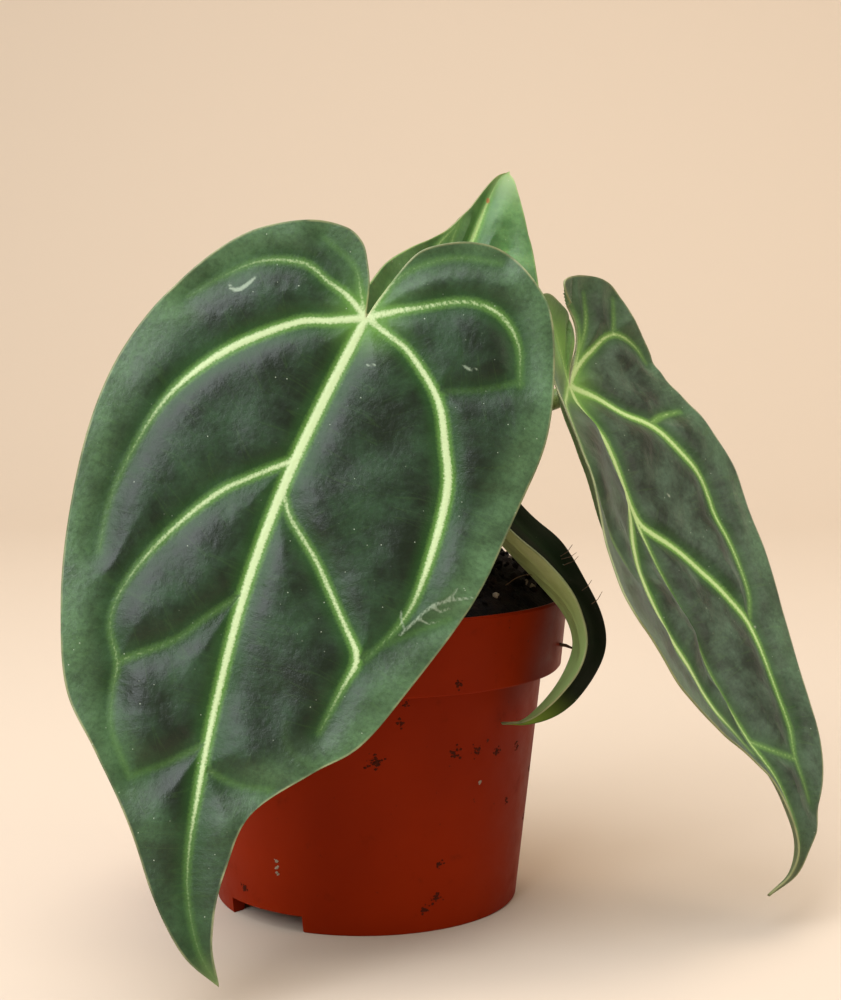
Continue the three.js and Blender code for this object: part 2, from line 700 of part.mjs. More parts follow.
const terracotta = new THREE.MeshStandardMaterial({ name: 'pot_plastic', color: 0xa8401c })
const peat = new THREE.MeshStandardMaterial({ name: 'potting_soil', color: 0x2a1c14 })
const stem = new THREE.MeshStandardMaterial({ name: 'crown_stem', color: 0x6e5a34 })
const darkGreen = new THREE.MeshStandardMaterial({ name: 'leaf_mature', color: 0x35503c })
const youngGreen = new THREE.MeshStandardMaterial({ name: 'leaf_young', color: 0x5a8c46 })

addPart(group, 'pot', potBody(), terracotta)

let soil = soilBody().subtract(lathed(grown(crownProfile, SOIL_GAP), CROWN_SIDES))
for (const leaf of leaves) {
  prepareLeaf(leaf)
  const line = stalkLine(leaf)
  const radii = stalkRadii(leaf)
  const [x, y, z] = line[0]
  const hole = stalkBody([[x, y, z - SOIL_GAP], ...line.slice(1)], radii.map((r) => r + SOIL_GAP))
  soil = soil.subtract(hole)
  const body = bladeBody(leaf).add(stalkBody(line, radii))
  addPart(group, leaf.name, body, leaf === backLeaf || leaf === smallLeaf ? youngGreen : darkGreen)
}
addPart(group, 'soil', soil, peat)
addPart(group, 'crown', lathed(crownProfile, CROWN_SIDES), stem)

export default group
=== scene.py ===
import math

import bmesh
import bpy
import numpy as np
from mathutils import Matrix, Vector, noise


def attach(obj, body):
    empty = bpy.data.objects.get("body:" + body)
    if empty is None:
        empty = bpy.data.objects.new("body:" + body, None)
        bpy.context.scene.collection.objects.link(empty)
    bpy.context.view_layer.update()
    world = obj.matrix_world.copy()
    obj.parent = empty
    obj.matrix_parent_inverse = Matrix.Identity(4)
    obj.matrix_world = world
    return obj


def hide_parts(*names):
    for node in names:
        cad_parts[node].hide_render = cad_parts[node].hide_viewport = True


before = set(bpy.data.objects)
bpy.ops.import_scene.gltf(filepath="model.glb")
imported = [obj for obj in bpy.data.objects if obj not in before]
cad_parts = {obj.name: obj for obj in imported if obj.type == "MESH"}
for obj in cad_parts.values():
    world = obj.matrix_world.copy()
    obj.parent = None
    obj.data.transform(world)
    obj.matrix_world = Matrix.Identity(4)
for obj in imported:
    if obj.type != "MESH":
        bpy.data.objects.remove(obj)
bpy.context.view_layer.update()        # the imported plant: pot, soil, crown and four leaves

# Camera. Half a metre away, a little above the pot's rim and looking slightly down. Its place
# and lens are worked out from the pot's rim and foot, in millimetres.
MM = 0.001
CAMERA_PLACE = (16.3, -558, 173)
CAMERA_DOWN = 5.5
LENS = 67.3
LONG_SIDE = 36

camera = bpy.data.objects.new("camera", bpy.data.cameras.new("camera"))
bpy.context.scene.collection.objects.link(camera)
bpy.context.scene.camera = camera
camera.data.lens = LENS
camera.data.sensor_width = LONG_SIDE
camera.location = Vector(CAMERA_PLACE) * MM
camera.rotation_euler = (math.radians(90 - CAMERA_DOWN), 0, 0)


# Stage. A studio sweep of warm off-white paper: flat under the pot, then curving up behind
# it, so that only the plant and its pot draw the eye.
def linear(code):
    """An sRGB hex colour as the linear colour that sockets take"""
    channels = [int(code[i:i + 2], 16) / 255 for i in (1, 3, 5)]
    return (*[c / 12.92 if c <= 0.04045 else ((c + 0.055) / 1.055) ** 2.4 for c in channels], 1)


def fill(node, inputs):
    """Sets or links a node's inputs. A node as a value stands for its first output in use"""
    for key, value in dict(inputs).items():
        if isinstance(value, bpy.types.Node):
            value = next(output for output in value.outputs if output.enabled)
        if isinstance(value, bpy.types.NodeSocket):
            node.id_data.links.new(value, node.inputs[key])
        else:
            node.inputs[key].default_value = value


def add_node(tree, kind, inputs=(), **settings):
    """One shader node with its settings, its values and its links"""
    made = tree.nodes.new("ShaderNode" + kind)
    for name, value in settings.items():
        setattr(made, name, value)
    fill(made, inputs)
    return made


def new_material(name, **surface):
    """A material with its tree and its Principled shader, and the shader's constant values"""
    material = bpy.data.materials.new(name)
    material.use_nodes = True
    shader = material.node_tree.nodes["Principled BSDF"]
    fill(shader, {key.replace("_", " "): value for key, value in surface.items()})
    return material, material.node_tree, shader


def new_piece(name, bm, materials):
    """An object at the origin from a finished bmesh"""
    mesh = bpy.data.meshes.new(name)
    bm.to_mesh(mesh)
    bm.free()
    mesh.polygons.foreach_set("use_smooth", [True] * len(mesh.polygons))
    piece = bpy.data.objects.new(name, mesh)
    bpy.context.scene.collection.objects.link(piece)
    for material in materials:
        mesh.materials.append(material)
    return piece


FLOOR_BACK = 1.0
SWEEP_RADIUS = 0.8
SWEEP_STEPS = 16
FLOOR_HALF = 3.0
WALL_TOP = 3.2

paper, _, _ = new_material("warm_paper", Roughness=0.85, Base_Color=linear("#c7b9a8"))

bm = bmesh.new()
sweep = [(-FLOOR_HALF, 0.0), (FLOOR_BACK, 0.0)]
for k in range(1, SWEEP_STEPS + 1):
    turn = math.pi / 2 * k / SWEEP_STEPS
    sweep.append((FLOOR_BACK + SWEEP_RADIUS * math.sin(turn), SWEEP_RADIUS * (1 - math.cos(turn))))
sweep.append((FLOOR_BACK + SWEEP_RADIUS, WALL_TOP))
line = [bm.verts.new((-FLOOR_HALF, y, z)) for y, z in sweep]
edges = [bm.edges.new(pair) for pair in zip(line, line[1:])]
pulled = bmesh.ops.extrude_edge_only(bm, edges=edges)["geom"]
moved = [v for v in pulled if isinstance(v, bmesh.types.BMVert)]
bmesh.ops.translate(bm, verts=moved, vec=(2 * FLOOR_HALF, 0, 0))
bmesh.ops.recalc_face_normals(bm, faces=bm.faces)
floor = new_piece("floor", bm, [paper])


# Light. One big soft window to the upper left in front, a weaker one to the right, and a warm
# room all round, so that no shadow has a hard edge.
def soft_light(name, place, aim, size, power, code):
    lamp = bpy.data.lights.new(name, "AREA")
    lamp.shape = "SQUARE"
    lamp.size = size
    lamp.energy = power
    lamp.color = linear(code)[:3]
    thing = bpy.data.objects.new(name, lamp)
    bpy.context.scene.collection.objects.link(thing)
    thing.location = place
    thing.rotation_euler = (Vector(aim) - Vector(place)).to_track_quat("-Z", "Y").to_euler()


soft_light("window_front", (-0.95, -1.5, 1.25), (0, 0, 0.12), 1.25, 34, "#f0f5fb")
soft_light("window_right", (1.5, -0.5, 0.9), (0, 0, 0.1), 0.9, 5, "#fff4e4")
soft_light("ceiling", (-0.25, -0.35, 1.3), (0, -0.05, 0.15), 1.0, 14, "#f4f8ff")
soft_light("wall_wash", (0.5, 0.75, 2.5), (0.3, 1.8, 0.4), 1.6, 42, "#ffefdc")

world = bpy.data.worlds.new("room")
bpy.context.scene.world = world
world.use_nodes = True
fill(world.node_tree.nodes["Background"], {"Color": linear("#f6e9da"), "Strength": 0.42})
bpy.context.scene.view_settings.view_transform = "Standard"


# Pot. A thin injection-moulded nursery pot of orange-brown polypropylene: tapered wall, wider
# rim band above a step, foot ring with two notches, and a channel with drain holes below.
POT_HEIGHT = 92
RIM_RADIUS = 60.5
BAND_BOTTOM_RADIUS = 58.6
BAND_BOTTOM = 70.4
BAND_STEP = 1.4
NECK_RADIUS = 53
FOOT_RADIUS = 45.3
WALL = 1.2
FOOT_RING = 3.8
BASE_DISC = 20
CHANNEL = 4.5
NOTCH = (28, 12, 5.8)
NOTCH_INSET = 1
NOTCH_MIDDLE = 1.9
NOTCH_TURNS = (-40, 140)
DRAIN_RADIUS = 4
DRAIN_CIRCLE = 31
DRAIN_HOLES = 6
DRAIN_DEPTH = 12
EDGE_ROUNDING = 0.35
SHARPEST_SMOOTH = 35
POT_STEPS = 160

channel_inner = BASE_DISC + 1.5
channel_outer = FOOT_RADIUS - FOOT_RING - 1.5
floor_top = CHANNEL + WALL
wall_at_floor = FOOT_RADIUS + (NECK_RADIUS - FOOT_RADIUS) * floor_top / BAND_BOTTOM
step_top = BAND_BOTTOM + BAND_STEP
POT_PROFILE = [
    (0, 0), (BASE_DISC, 0), (channel_inner, CHANNEL), (channel_outer, CHANNEL),
    (FOOT_RADIUS - FOOT_RING, 0), (FOOT_RADIUS - 0.4, 0), (FOOT_RADIUS, 0.5),
    (NECK_RADIUS, BAND_BOTTOM), (BAND_BOTTOM_RADIUS - 0.5, BAND_BOTTOM),
    (BAND_BOTTOM_RADIUS, BAND_BOTTOM + 0.6), (RIM_RADIUS, POT_HEIGHT - 0.7),
    (RIM_RADIUS - 0.4, POT_HEIGHT), (RIM_RADIUS - WALL + 0.3, POT_HEIGHT),
    (RIM_RADIUS - WALL, POT_HEIGHT - 0.5), (BAND_BOTTOM_RADIUS - WALL, step_top),
    (NECK_RADIUS - WALL, step_top), (wall_at_floor - WALL, floor_top),
    (channel_inner - 0.8, floor_top), (BASE_DISC - 0.8, WALL), (0, WALL),
]


def spun(profile, steps):
    """A bmesh turned about the pot's axis from points of (radius, height) in millimetres"""
    bm = bmesh.new()
    verts = [bm.verts.new((r * MM, 0, z * MM)) for r, z in profile]
    edges = [bm.edges.new(pair) for pair in zip(verts, verts[1:])]
    bmesh.ops.spin(bm, geom=verts + edges, cent=(0, 0, 0), axis=(0, 0, 1), dvec=(0, 0, 0),
                   angle=2 * math.pi, steps=steps, use_merge=True)
    bmesh.ops.remove_doubles(bm, verts=bm.verts, dist=1e-6)
    bmesh.ops.recalc_face_normals(bm, faces=bm.faces)
    return bm


def carve(piece, cutters):
    """Cuts other bmeshes out of a piece for good"""
    for cutter in cutters:
        tool = new_piece("tool", cutter, [])
        cut = piece.modifiers.new("cut", "BOOLEAN")
        cut.object = tool
        cut.solver = "EXACT"
        result = bpy.data.meshes.new_from_object(piece.evaluated_get(bpy.context.evaluated_depsgraph_get()))
        piece.modifiers.remove(cut)
        piece.data = result
        bpy.data.objects.remove(tool)


# Moulded polypropylene: satin, finely grained and a little translucent. It fades in broad
# clouds, and is darker where a film and specks of soil have dried on it.
SOFT = {"interpolation_type": "SMOOTHSTEP"}
COLOURS = {"data_type": "RGBA"}

pot_plastic, tree, shader = new_material("moulded_polypropylene", IOR=1.49, Specular_IOR_Level=0.05,
                                         Subsurface_Weight=0.06, Subsurface_Scale=0.004,
                                         Subsurface_Radius=(1.0, 0.25, 0.1))
place = add_node(tree, "TexCoord").outputs["Object"]
cloud = add_node(tree, "TexNoise", {"Vector": place, "Scale": 1 / 0.030, "Detail": 4.0})
film = add_node(tree, "TexNoise", {"Vector": place, "Scale": 1 / 0.009, "Detail": 6.0, "Roughness": 0.65})
film_share = add_node(tree, "MapRange", {0: film, 1: 0.58, 2: 0.78, 3: 0.0, 4: 0.45}, **SOFT)
speck = add_node(tree, "TexNoise", {"Vector": place, "Scale": 1 / 0.0028, "Detail": 3.0, "Roughness": 0.6})
speck_share = add_node(tree, "MapRange", {0: speck, 1: 0.70, 2: 0.76, 3: 0.0, 4: 0.75}, **SOFT)
stained = linear("#761a01")
for share, code in [(cloud, "#8c2502"), (film_share, "#4e1605"), (speck_share, "#2e1a12")]:
    stained = add_node(tree, "Mix", {0: share, 6: stained, 7: linear(code)}, **COLOURS)
gloss = add_node(tree, "MapRange", {0: film, 1: 0.3, 2: 0.8, 3: 0.38, 4: 0.62})
grain = add_node(tree, "TexNoise", {"Vector": place, "Scale": 1 / 0.0009, "Detail": 2.0})
bump = add_node(tree, "Bump", {"Strength": 0.12, "Distance": 0.0002, "Height": grain})
fill(shader, {"Base Color": stained, "Roughness": gloss, "Normal": bump})

pot = new_piece("pot_moulded", spun(POT_PROFILE, POT_STEPS), [pot_plastic])
cutters = []
for turn in NOTCH_TURNS:
    cutter = bmesh.new()
    bmesh.ops.create_cube(cutter, size=MM)
    bmesh.ops.scale(cutter, verts=cutter.verts, vec=NOTCH)
    bmesh.ops.translate(cutter, verts=cutter.verts,
                        vec=(0, -(FOOT_RADIUS - NOTCH_INSET) * MM, NOTCH_MIDDLE * MM))
    bmesh.ops.rotate(cutter, verts=cutter.verts, matrix=Matrix.Rotation(math.radians(turn), 3, "Z"))
    cutters.append(cutter)
for k in range(DRAIN_HOLES):
    cutter = bmesh.new()
    bmesh.ops.create_cone(cutter, cap_ends=True, segments=24, radius1=DRAIN_RADIUS * MM,
                          radius2=DRAIN_RADIUS * MM, depth=DRAIN_DEPTH * MM)
    bmesh.ops.translate(cutter, verts=cutter.verts, vec=(0, DRAIN_CIRCLE * MM, CHANNEL * MM))
    turn = 2 * math.pi * k / DRAIN_HOLES
    bmesh.ops.rotate(cutter, verts=cutter.verts, matrix=Matrix.Rotation(turn, 3, "Z"))
    cutters.append(cutter)
carve(pot, cutters)
bevel = pot.modifiers.new("moulded edges", "BEVEL")
bevel.width = EDGE_ROUNDING * MM
bevel.segments = 2
bevel.limit_method = "ANGLE"
bevel.angle_limit = math.radians(SHARPEST_SMOOTH)
pot.data.polygons.foreach_set("use_smooth", [True] * len(pot.data.polygons))
pot.modifiers.new("shading", "WEIGHTED_NORMAL").keep_sharp = True
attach(pot, "root")
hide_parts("pot")


# Soil. A heap of peat, bark and coir that stands above the rim: a lumpy body with loose
# crumbs, white perlite grains and stray fibres lying on it.
SOIL_EDGE = 90.3
SOIL_RISE = 16.5
SOIL_LUMP = 1.3
SOIL_ROUNDING = 3.4
SOIL_GAP = 0.3
SOIL_RINGS = 64
SOIL_SECTORS = 200
# the heap's small lumps: how fine, how high in millimetres, and a shift between them
SOIL_NOISE = ((0.45, 1.3, 0), (1.1, 0.7, 9))
CRUMBS = 900
PERLITE = 36
FIBRES = 120

random = np.random.default_rng(7)


def soil_height(x, y):
    """Height of the heap in millimetres"""
    r = np.minimum(1, np.hypot(x, y) / (RIM_RADIUS - WALL))
    broad = np.sin(x * 0.16 + 1.3) * np.cos(y * 0.19 - 0.4)
    fine = np.sin(x * 0.51 - y * 0.23 + 2) * np.sin(y * 0.47 + x * 0.17)
    lumps = SOIL_LUMP * (0.6 * broad + 0.5 * fine) * (1 - 0.6 * r ** 6)
    return SOIL_EDGE + SOIL_RISE * (1 - r ** SOIL_ROUNDING) + lumps


# Potting mix: matt and nearly black when moist, brown where it has dried.
soil_mix, tree, shader = new_material("potting_mix", Roughness=0.95, Specular_IOR_Level=0.2)
place = add_node(tree, "TexCoord").outputs["Object"]
mottle = add_node(tree, "TexNoise", {"Vector": place, "Scale": 1 / 0.006, "Detail": 6.0, "Roughness": 0.7})
dry = add_node(tree, "MapRange", {0: mottle, 1: 0.4, 2: 0.75}, **SOFT)
earth = add_node(tree, "Mix", {0: dry, 6: linear("#0b0706"), 7: linear("#261811")}, **COLOURS)
clods = add_node(tree, "TexNoise", {"Vector": place, "Scale": 1 / 0.0012, "Detail": 5.0})
bump = add_node(tree, "Bump", {"Strength": 0.9, "Distance": 0.0012, "Height": clods})
fill(shader, {"Base Color": earth, "Normal": bump})

band_slope = (RIM_RADIUS - BAND_BOTTOM_RADIUS) / (POT_HEIGHT - BAND_BOTTOM)
soil_edge_radius = BAND_BOTTOM_RADIUS - WALL - SOIL_GAP + band_slope * (SOIL_EDGE - step_top) - 0.1
soil_top = [(soil_edge_radius * k / SOIL_RINGS, SOIL_EDGE) for k in range(SOIL_RINGS + 1)]
soil_low = [
    (BAND_BOTTOM_RADIUS - WALL - SOIL_GAP, step_top + SOIL_GAP),
    (NECK_RADIUS - WALL - SOIL_GAP, step_top + SOIL_GAP),
    (wall_at_floor - WALL - SOIL_GAP, floor_top + SOIL_GAP),
    (channel_inner - 0.8 - SOIL_GAP, floor_top + SOIL_GAP),
    (BASE_DISC - 0.8 - SOIL_GAP, WALL + SOIL_GAP),
    (0, WALL + SOIL_GAP),
]
bm = spun(soil_top + soil_low, SOIL_SECTORS)
for v in bm.verts:
    if v.co.z < (SOIL_EDGE - 0.1) * MM:
        continue
    x, y = v.co.x / MM, v.co.y / MM
    crumb = sum(noise.noise(Vector((x, y, shift)) * fine) * high for fine, high, shift in SOIL_NOISE)
    inside = 1 - (math.hypot(x, y) / soil_edge_radius) ** 8
    v.co.z = (float(soil_height(x, y)) + crumb * inside) * MM
soil = new_piece("soil_heap", bm, [soil_mix])
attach(soil, "root")
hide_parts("soil")


def scatter(count, low, high, squash, sink):
    """Rough grains strewn over the heap, sunk into it by a share of their size"""
    bm = bmesh.new()
    for _ in range(count):
        r = (soil_edge_radius - 2) * math.sqrt(random.uniform(0.0, 1.0))
        turn = random.uniform(0, 2 * math.pi)
        x, y = r * math.cos(turn), r * math.sin(turn)
        size = random.uniform(low, high) * random.uniform(0.6, 1.0)
        spin = Matrix.Rotation(random.uniform(0, 6.28), 3, Vector(random.normal(size=3)).normalized())
        grain = bmesh.ops.create_icosphere(bm, subdivisions=1, radius=size / 2)["verts"]
        stretch = Vector((random.uniform(0.8, 1.5), random.uniform(0.7, 1.1), squash))
        for v in grain:
            v.co = spin @ (v.co * random.uniform(0.8, 1.15) * stretch)
            v.co.xyz = (v.co.x + x, v.co.y + y, v.co.z + float(soil_height(x, y)) + size * (0.5 - sink))
    bmesh.ops.scale(bm, verts=bm.verts, vec=(MM, MM, MM))
    return bm


crumbs = new_piece("soil_crumbs", scatter(CRUMBS, 1.2, 4.2, 0.8, 0.35), [soil_mix])
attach(crumbs, "root")


def two_tone(name, dark, light, size, detail=2.0, stretch=1, relief=None, field=None, **surface):
    """A plain natural material: two tones in a noise of one size, in metres or in the units of a
    field, squeezed or drawn out along its height, and with the same noise as its relief"""
    material, tree, shader = new_material(name, **surface)
    if field:
        place = add_node(tree, "Attribute", attribute_name=field).outputs["Vector"]
    else:
        place = add_node(tree, "TexCoord").outputs["Object"]
    if stretch != 1:
        place = add_node(tree, "Mapping", {"Vector": place, "Scale": (1, 1, stretch)})
    tone = add_node(tree, "TexNoise", {"Vector": place, "Scale": 1 / size, "Detail": detail})
    tint = add_node(tree, "Mix", {0: tone, 6: linear(dark), 7: linear(light)}, **COLOURS)
    fill(shader, {"Base Color": tint})
    if relief:
        bump = add_node(tree, "Bump", {"Strength": relief[0], "Distance": relief[1], "Height": tone})
        fill(shader, {"Normal": bump})
    return material


# Perlite: popped volcanic glass, white and matt with brown dust in its pores.
perlite_white = two_tone("perlite", "#6f5d4c", "#a89a88", 0.0008, detail=3.0,
                         relief=(0.5, 0.0003), Roughness=0.9)
perlite = new_piece("perlite_grains", scatter(PERLITE, 1.4, 2.8, 0.9, 0.3), [perlite_white])
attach(perlite, "root")

# Splashes: soil that dried on the pot's wall, and pale lime in one dot and a short streak.
# Each is its turn from the front in degrees, its height, its radius and how many grains.
SOIL_SPLASHES = [
    (4, 51.5, 2, 48), (12, 62.5, 1.2, 15), (13.5, 68, 1.1, 12), (30.5, 52, 1.6, 30),
    (39.5, 52, 1.4, 24), (48, 50.5, 1.4, 24), (60.5, 50, 1.3, 21), (79, 40, 1.2, 18),
    (54, 70, 1.1, 15), (27, 73.5, 1.1, 15), (27, 20, 1.2, 15), (26.5, 10, 1.4, 21),
    (22, 6.5, 1.2, 18), (57, 34, 1.1, 15), (78.5, 25, 1.1, 15), (-48, 9.5, 1.5, 18),
    (150, 40, 1.8, 30), (205, 62, 1.4, 24), (262, 30, 1.5, 24),
]
LIME_MARKS = [(41.5, 42.5, 0.4, 9), (-31, 20.5, 0.5, 12), (-31, 18.5, 0.5, 12), (-31, 16.8, 0.4, 9)]
GRAIN_SIZES = (0.12, 0.45)
GRAIN_FLATNESS = 0.15

# Dried soil: a matt crust, reddened by the plastic that shows through where it is thin.
dried_soil = two_tone("dried_soil_film", "#210d07", "#5c2110", 0.001, detail=3.0,
                      Roughness=0.9, Specular_IOR_Level=0.1)


def splashes(marks):
    """Flat grains half sunk into the pot's wall, within about half of each mark's radius"""
    bm = bmesh.new()
    for turn, height, radius, grains in marks:
        for _ in range(grains):
            z = height + random.normal() * radius * 0.5
            if height > BAND_BOTTOM:
                wall = BAND_BOTTOM_RADIUS + band_slope * (z - BAND_BOTTOM)
            else:
                wall = FOOT_RADIUS + (NECK_RADIUS - FOOT_RADIUS) * z / BAND_BOTTOM
            size = random.uniform(*GRAIN_SIZES)
            turned = Matrix.Rotation(math.radians(turn) + random.normal() * radius * 0.55 / wall, 3, "Z")
            for v in bmesh.ops.create_icosphere(bm, subdivisions=1, radius=size)["verts"]:
                broad = random.uniform(0.8, 1.4)
                tall = random.uniform(0.7, 1.2)
                on_wall = Vector((v.co.x * broad, v.co.y * GRAIN_FLATNESS - wall, v.co.z * tall))
                v.co = (turned @ on_wall + Vector((0, 0, z))) * MM
    return bm


splashed = new_piece("soil_splashes", splashes(SOIL_SPLASHES), [dried_soil])
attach(splashed, "root")
lime = new_piece("lime_marks", splashes(LIME_MARKS), [perlite_white])
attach(lime, "root")

# Coir: stray brown fibres of coconut husk about 0.3 mm thick, dry and matt, lying on the heap
# and sticking up a little.
fibre_brown = two_tone("coir_fibre", "#2c1c12", "#7d6040", 0.004, Roughness=0.8)


def tube(name, strands, material, resolution):
    """One mesh of round strands: each is a list of (point, radius) in millimetres"""
    curve = bpy.data.curves.new(name, "CURVE")
    curve.dimensions = "3D"
    curve.bevel_depth = MM
    curve.bevel_resolution = resolution
    curve.use_fill_caps = True
    for strand in strands:
        spline = curve.splines.new("POLY")
        spline.points.add(len(strand) - 1)
        for point, (place, radius) in zip(spline.points, strand):
            point.co = (*(Vector(place) * MM), 1)
            point.radius = radius
    drawn = bpy.data.objects.new(name + "_line", curve)
    bpy.context.scene.collection.objects.link(drawn)
    mesh = bpy.data.meshes.new_from_object(drawn.evaluated_get(bpy.context.evaluated_depsgraph_get()))
    bpy.data.objects.remove(drawn)
    bm = bmesh.new()
    bm.from_mesh(mesh)
    bmesh.ops.remove_doubles(bm, verts=bm.verts, dist=1e-6)
    bmesh.ops.recalc_face_normals(bm, faces=bm.faces)
    return new_piece(name, bm, [material])


FIBRE_STEPS = 7
EDGE_KEPT = 6


def fibre(x, y, lean, rise, length, radius):
    """A curved strand that starts on the heap at x, y"""
    start = Vector((x, y, float(soil_height(x, y)) - 0.3))
    out = []
    for k in range(FIBRE_STEPS + 1):
        u = k / FIBRE_STEPS
        sag = Vector((math.cos(lean), math.sin(lean), 0)) * length * u
        lift = rise * math.sin(math.pi * 0.6 * u)
        wander = noise.noise(Vector((x + 3 * u, y, lean))) * length * 0.2
        sideways = Vector((-math.sin(lean), math.cos(lean), 0)) * wander
        out.append((start + sag + sideways + Vector((0, 0, lift)), radius * (1 - 0.5 * u)))
    return out


strands = []
for _ in range(FIBRES):
    r = (soil_edge_radius - EDGE_KEPT) * math.sqrt(random.uniform(0.0, 1.0))
    turn = random.uniform(0, 2 * math.pi)
    strands.append(fibre(r * math.cos(turn), r * math.sin(turn), random.uniform(0, 6.28),
                         random.uniform(0.4, 3.5), random.uniform(4, 9), random.uniform(0.12, 0.28)))
# those beside the small leaf, and the last one caught on the rim band
strands += [
    [((56.5, -25, 105.4), 0.16), ((58.4, -25, 106.6), 0.12), ((59.9, -25.5, 108.9), 0.07)],
    [((56.8, -25, 104.6), 0.14), ((59.4, -24.5, 105.2), 0.1), ((61.2, -24, 106.4), 0.06)],
    [((57.4, -26, 103), 0.14), ((60.3, -26, 104.2), 0.08), ((61.6, -26, 105.6), 0.06)],
    [((62.6, -27, 95.8), 0.14), ((64.2, -27, 97), 0.1), ((65.4, -27, 98.9), 0.06)],
    [((65.2, -29, 92.2), 0.14), ((67, -29, 93.6), 0.1), ((68.2, -29, 95.8), 0.06)],
    [((56.8, -15.2, 78.2), 0.55), ((59, -16, 77.9), 0.5), ((61, -17, 77.2), 0.3)],
]
fibres = tube("coir_fibres", strands, fibre_brown, 0)
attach(fibres, "root")


# Crown. The short stem that the stalks rise from, rooted in the soil. It is living tissue under a
# corky brown skin, and ringed where older leaves have dropped off.
CROWN_PROFILE = [(0, 90), (4.2, 90), (4.9, 96), (5.2, 102), (4.8, 106), (3.2, 109), (1.2, 111), (0, 111)]
CROWN_STEPS = 48
LUMP_SHARE = 0.08
LUMP_FINENESS = 500
RING_SHARE = 0.05
RING_FINENESS = 1200

# Cork: dry, matt and cracked, with bands that lie across the stem.
corky = two_tone("corky_stem", "#3a2a16", "#8a7444", 0.006, detail=5.0, stretch=4,
                 relief=(0.8, 0.0006), Roughness=0.85)

bm = spun(CROWN_PROFILE, CROWN_STEPS)
bmesh.ops.subdivide_edges(bm, edges=bm.edges, cuts=2, use_grid_fill=True)
for v in bm.verts:
    wobble = 1 + LUMP_SHARE * noise.noise(v.co * LUMP_FINENESS)
    wobble -= RING_SHARE * abs(math.sin(v.co.z * RING_FINENESS))
    v.co.x *= wobble
    v.co.y *= wobble
crown = new_piece("crown_stem", bm, [corky])
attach(crown, "root")
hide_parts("crown")


# Front leaf. The big mature blade hangs in front of the pot on its long stalk. Like the other
# blades it is laid out flat in millimetres, across and along from the stalk to the tip, and
# then hung on its midrib: folded, curled, quilted between the veins and waved at the edge.
TURN_SPAN = 20
BLADE_THICKNESS = 0.9
MARGIN_THICKNESS = 0.55
PANEL_WIDTH = 5
RIB_DEPTH = 0.9
STALK_RADIUS = 2.2
KNEE_RADIUS = 2.9
KNEE_LENGTH = 9
KNEE_ALONG = 2
LINE_STEPS = 12
SPINE_STEPS = 24
VEIN_STEPS = 4
VEIN_RISE = 0.22
VEIN_SOFTNESS = 0.9
HILL_SIZE = 11
HALF_SHIFT = 300
NO_SCAR = 99.0

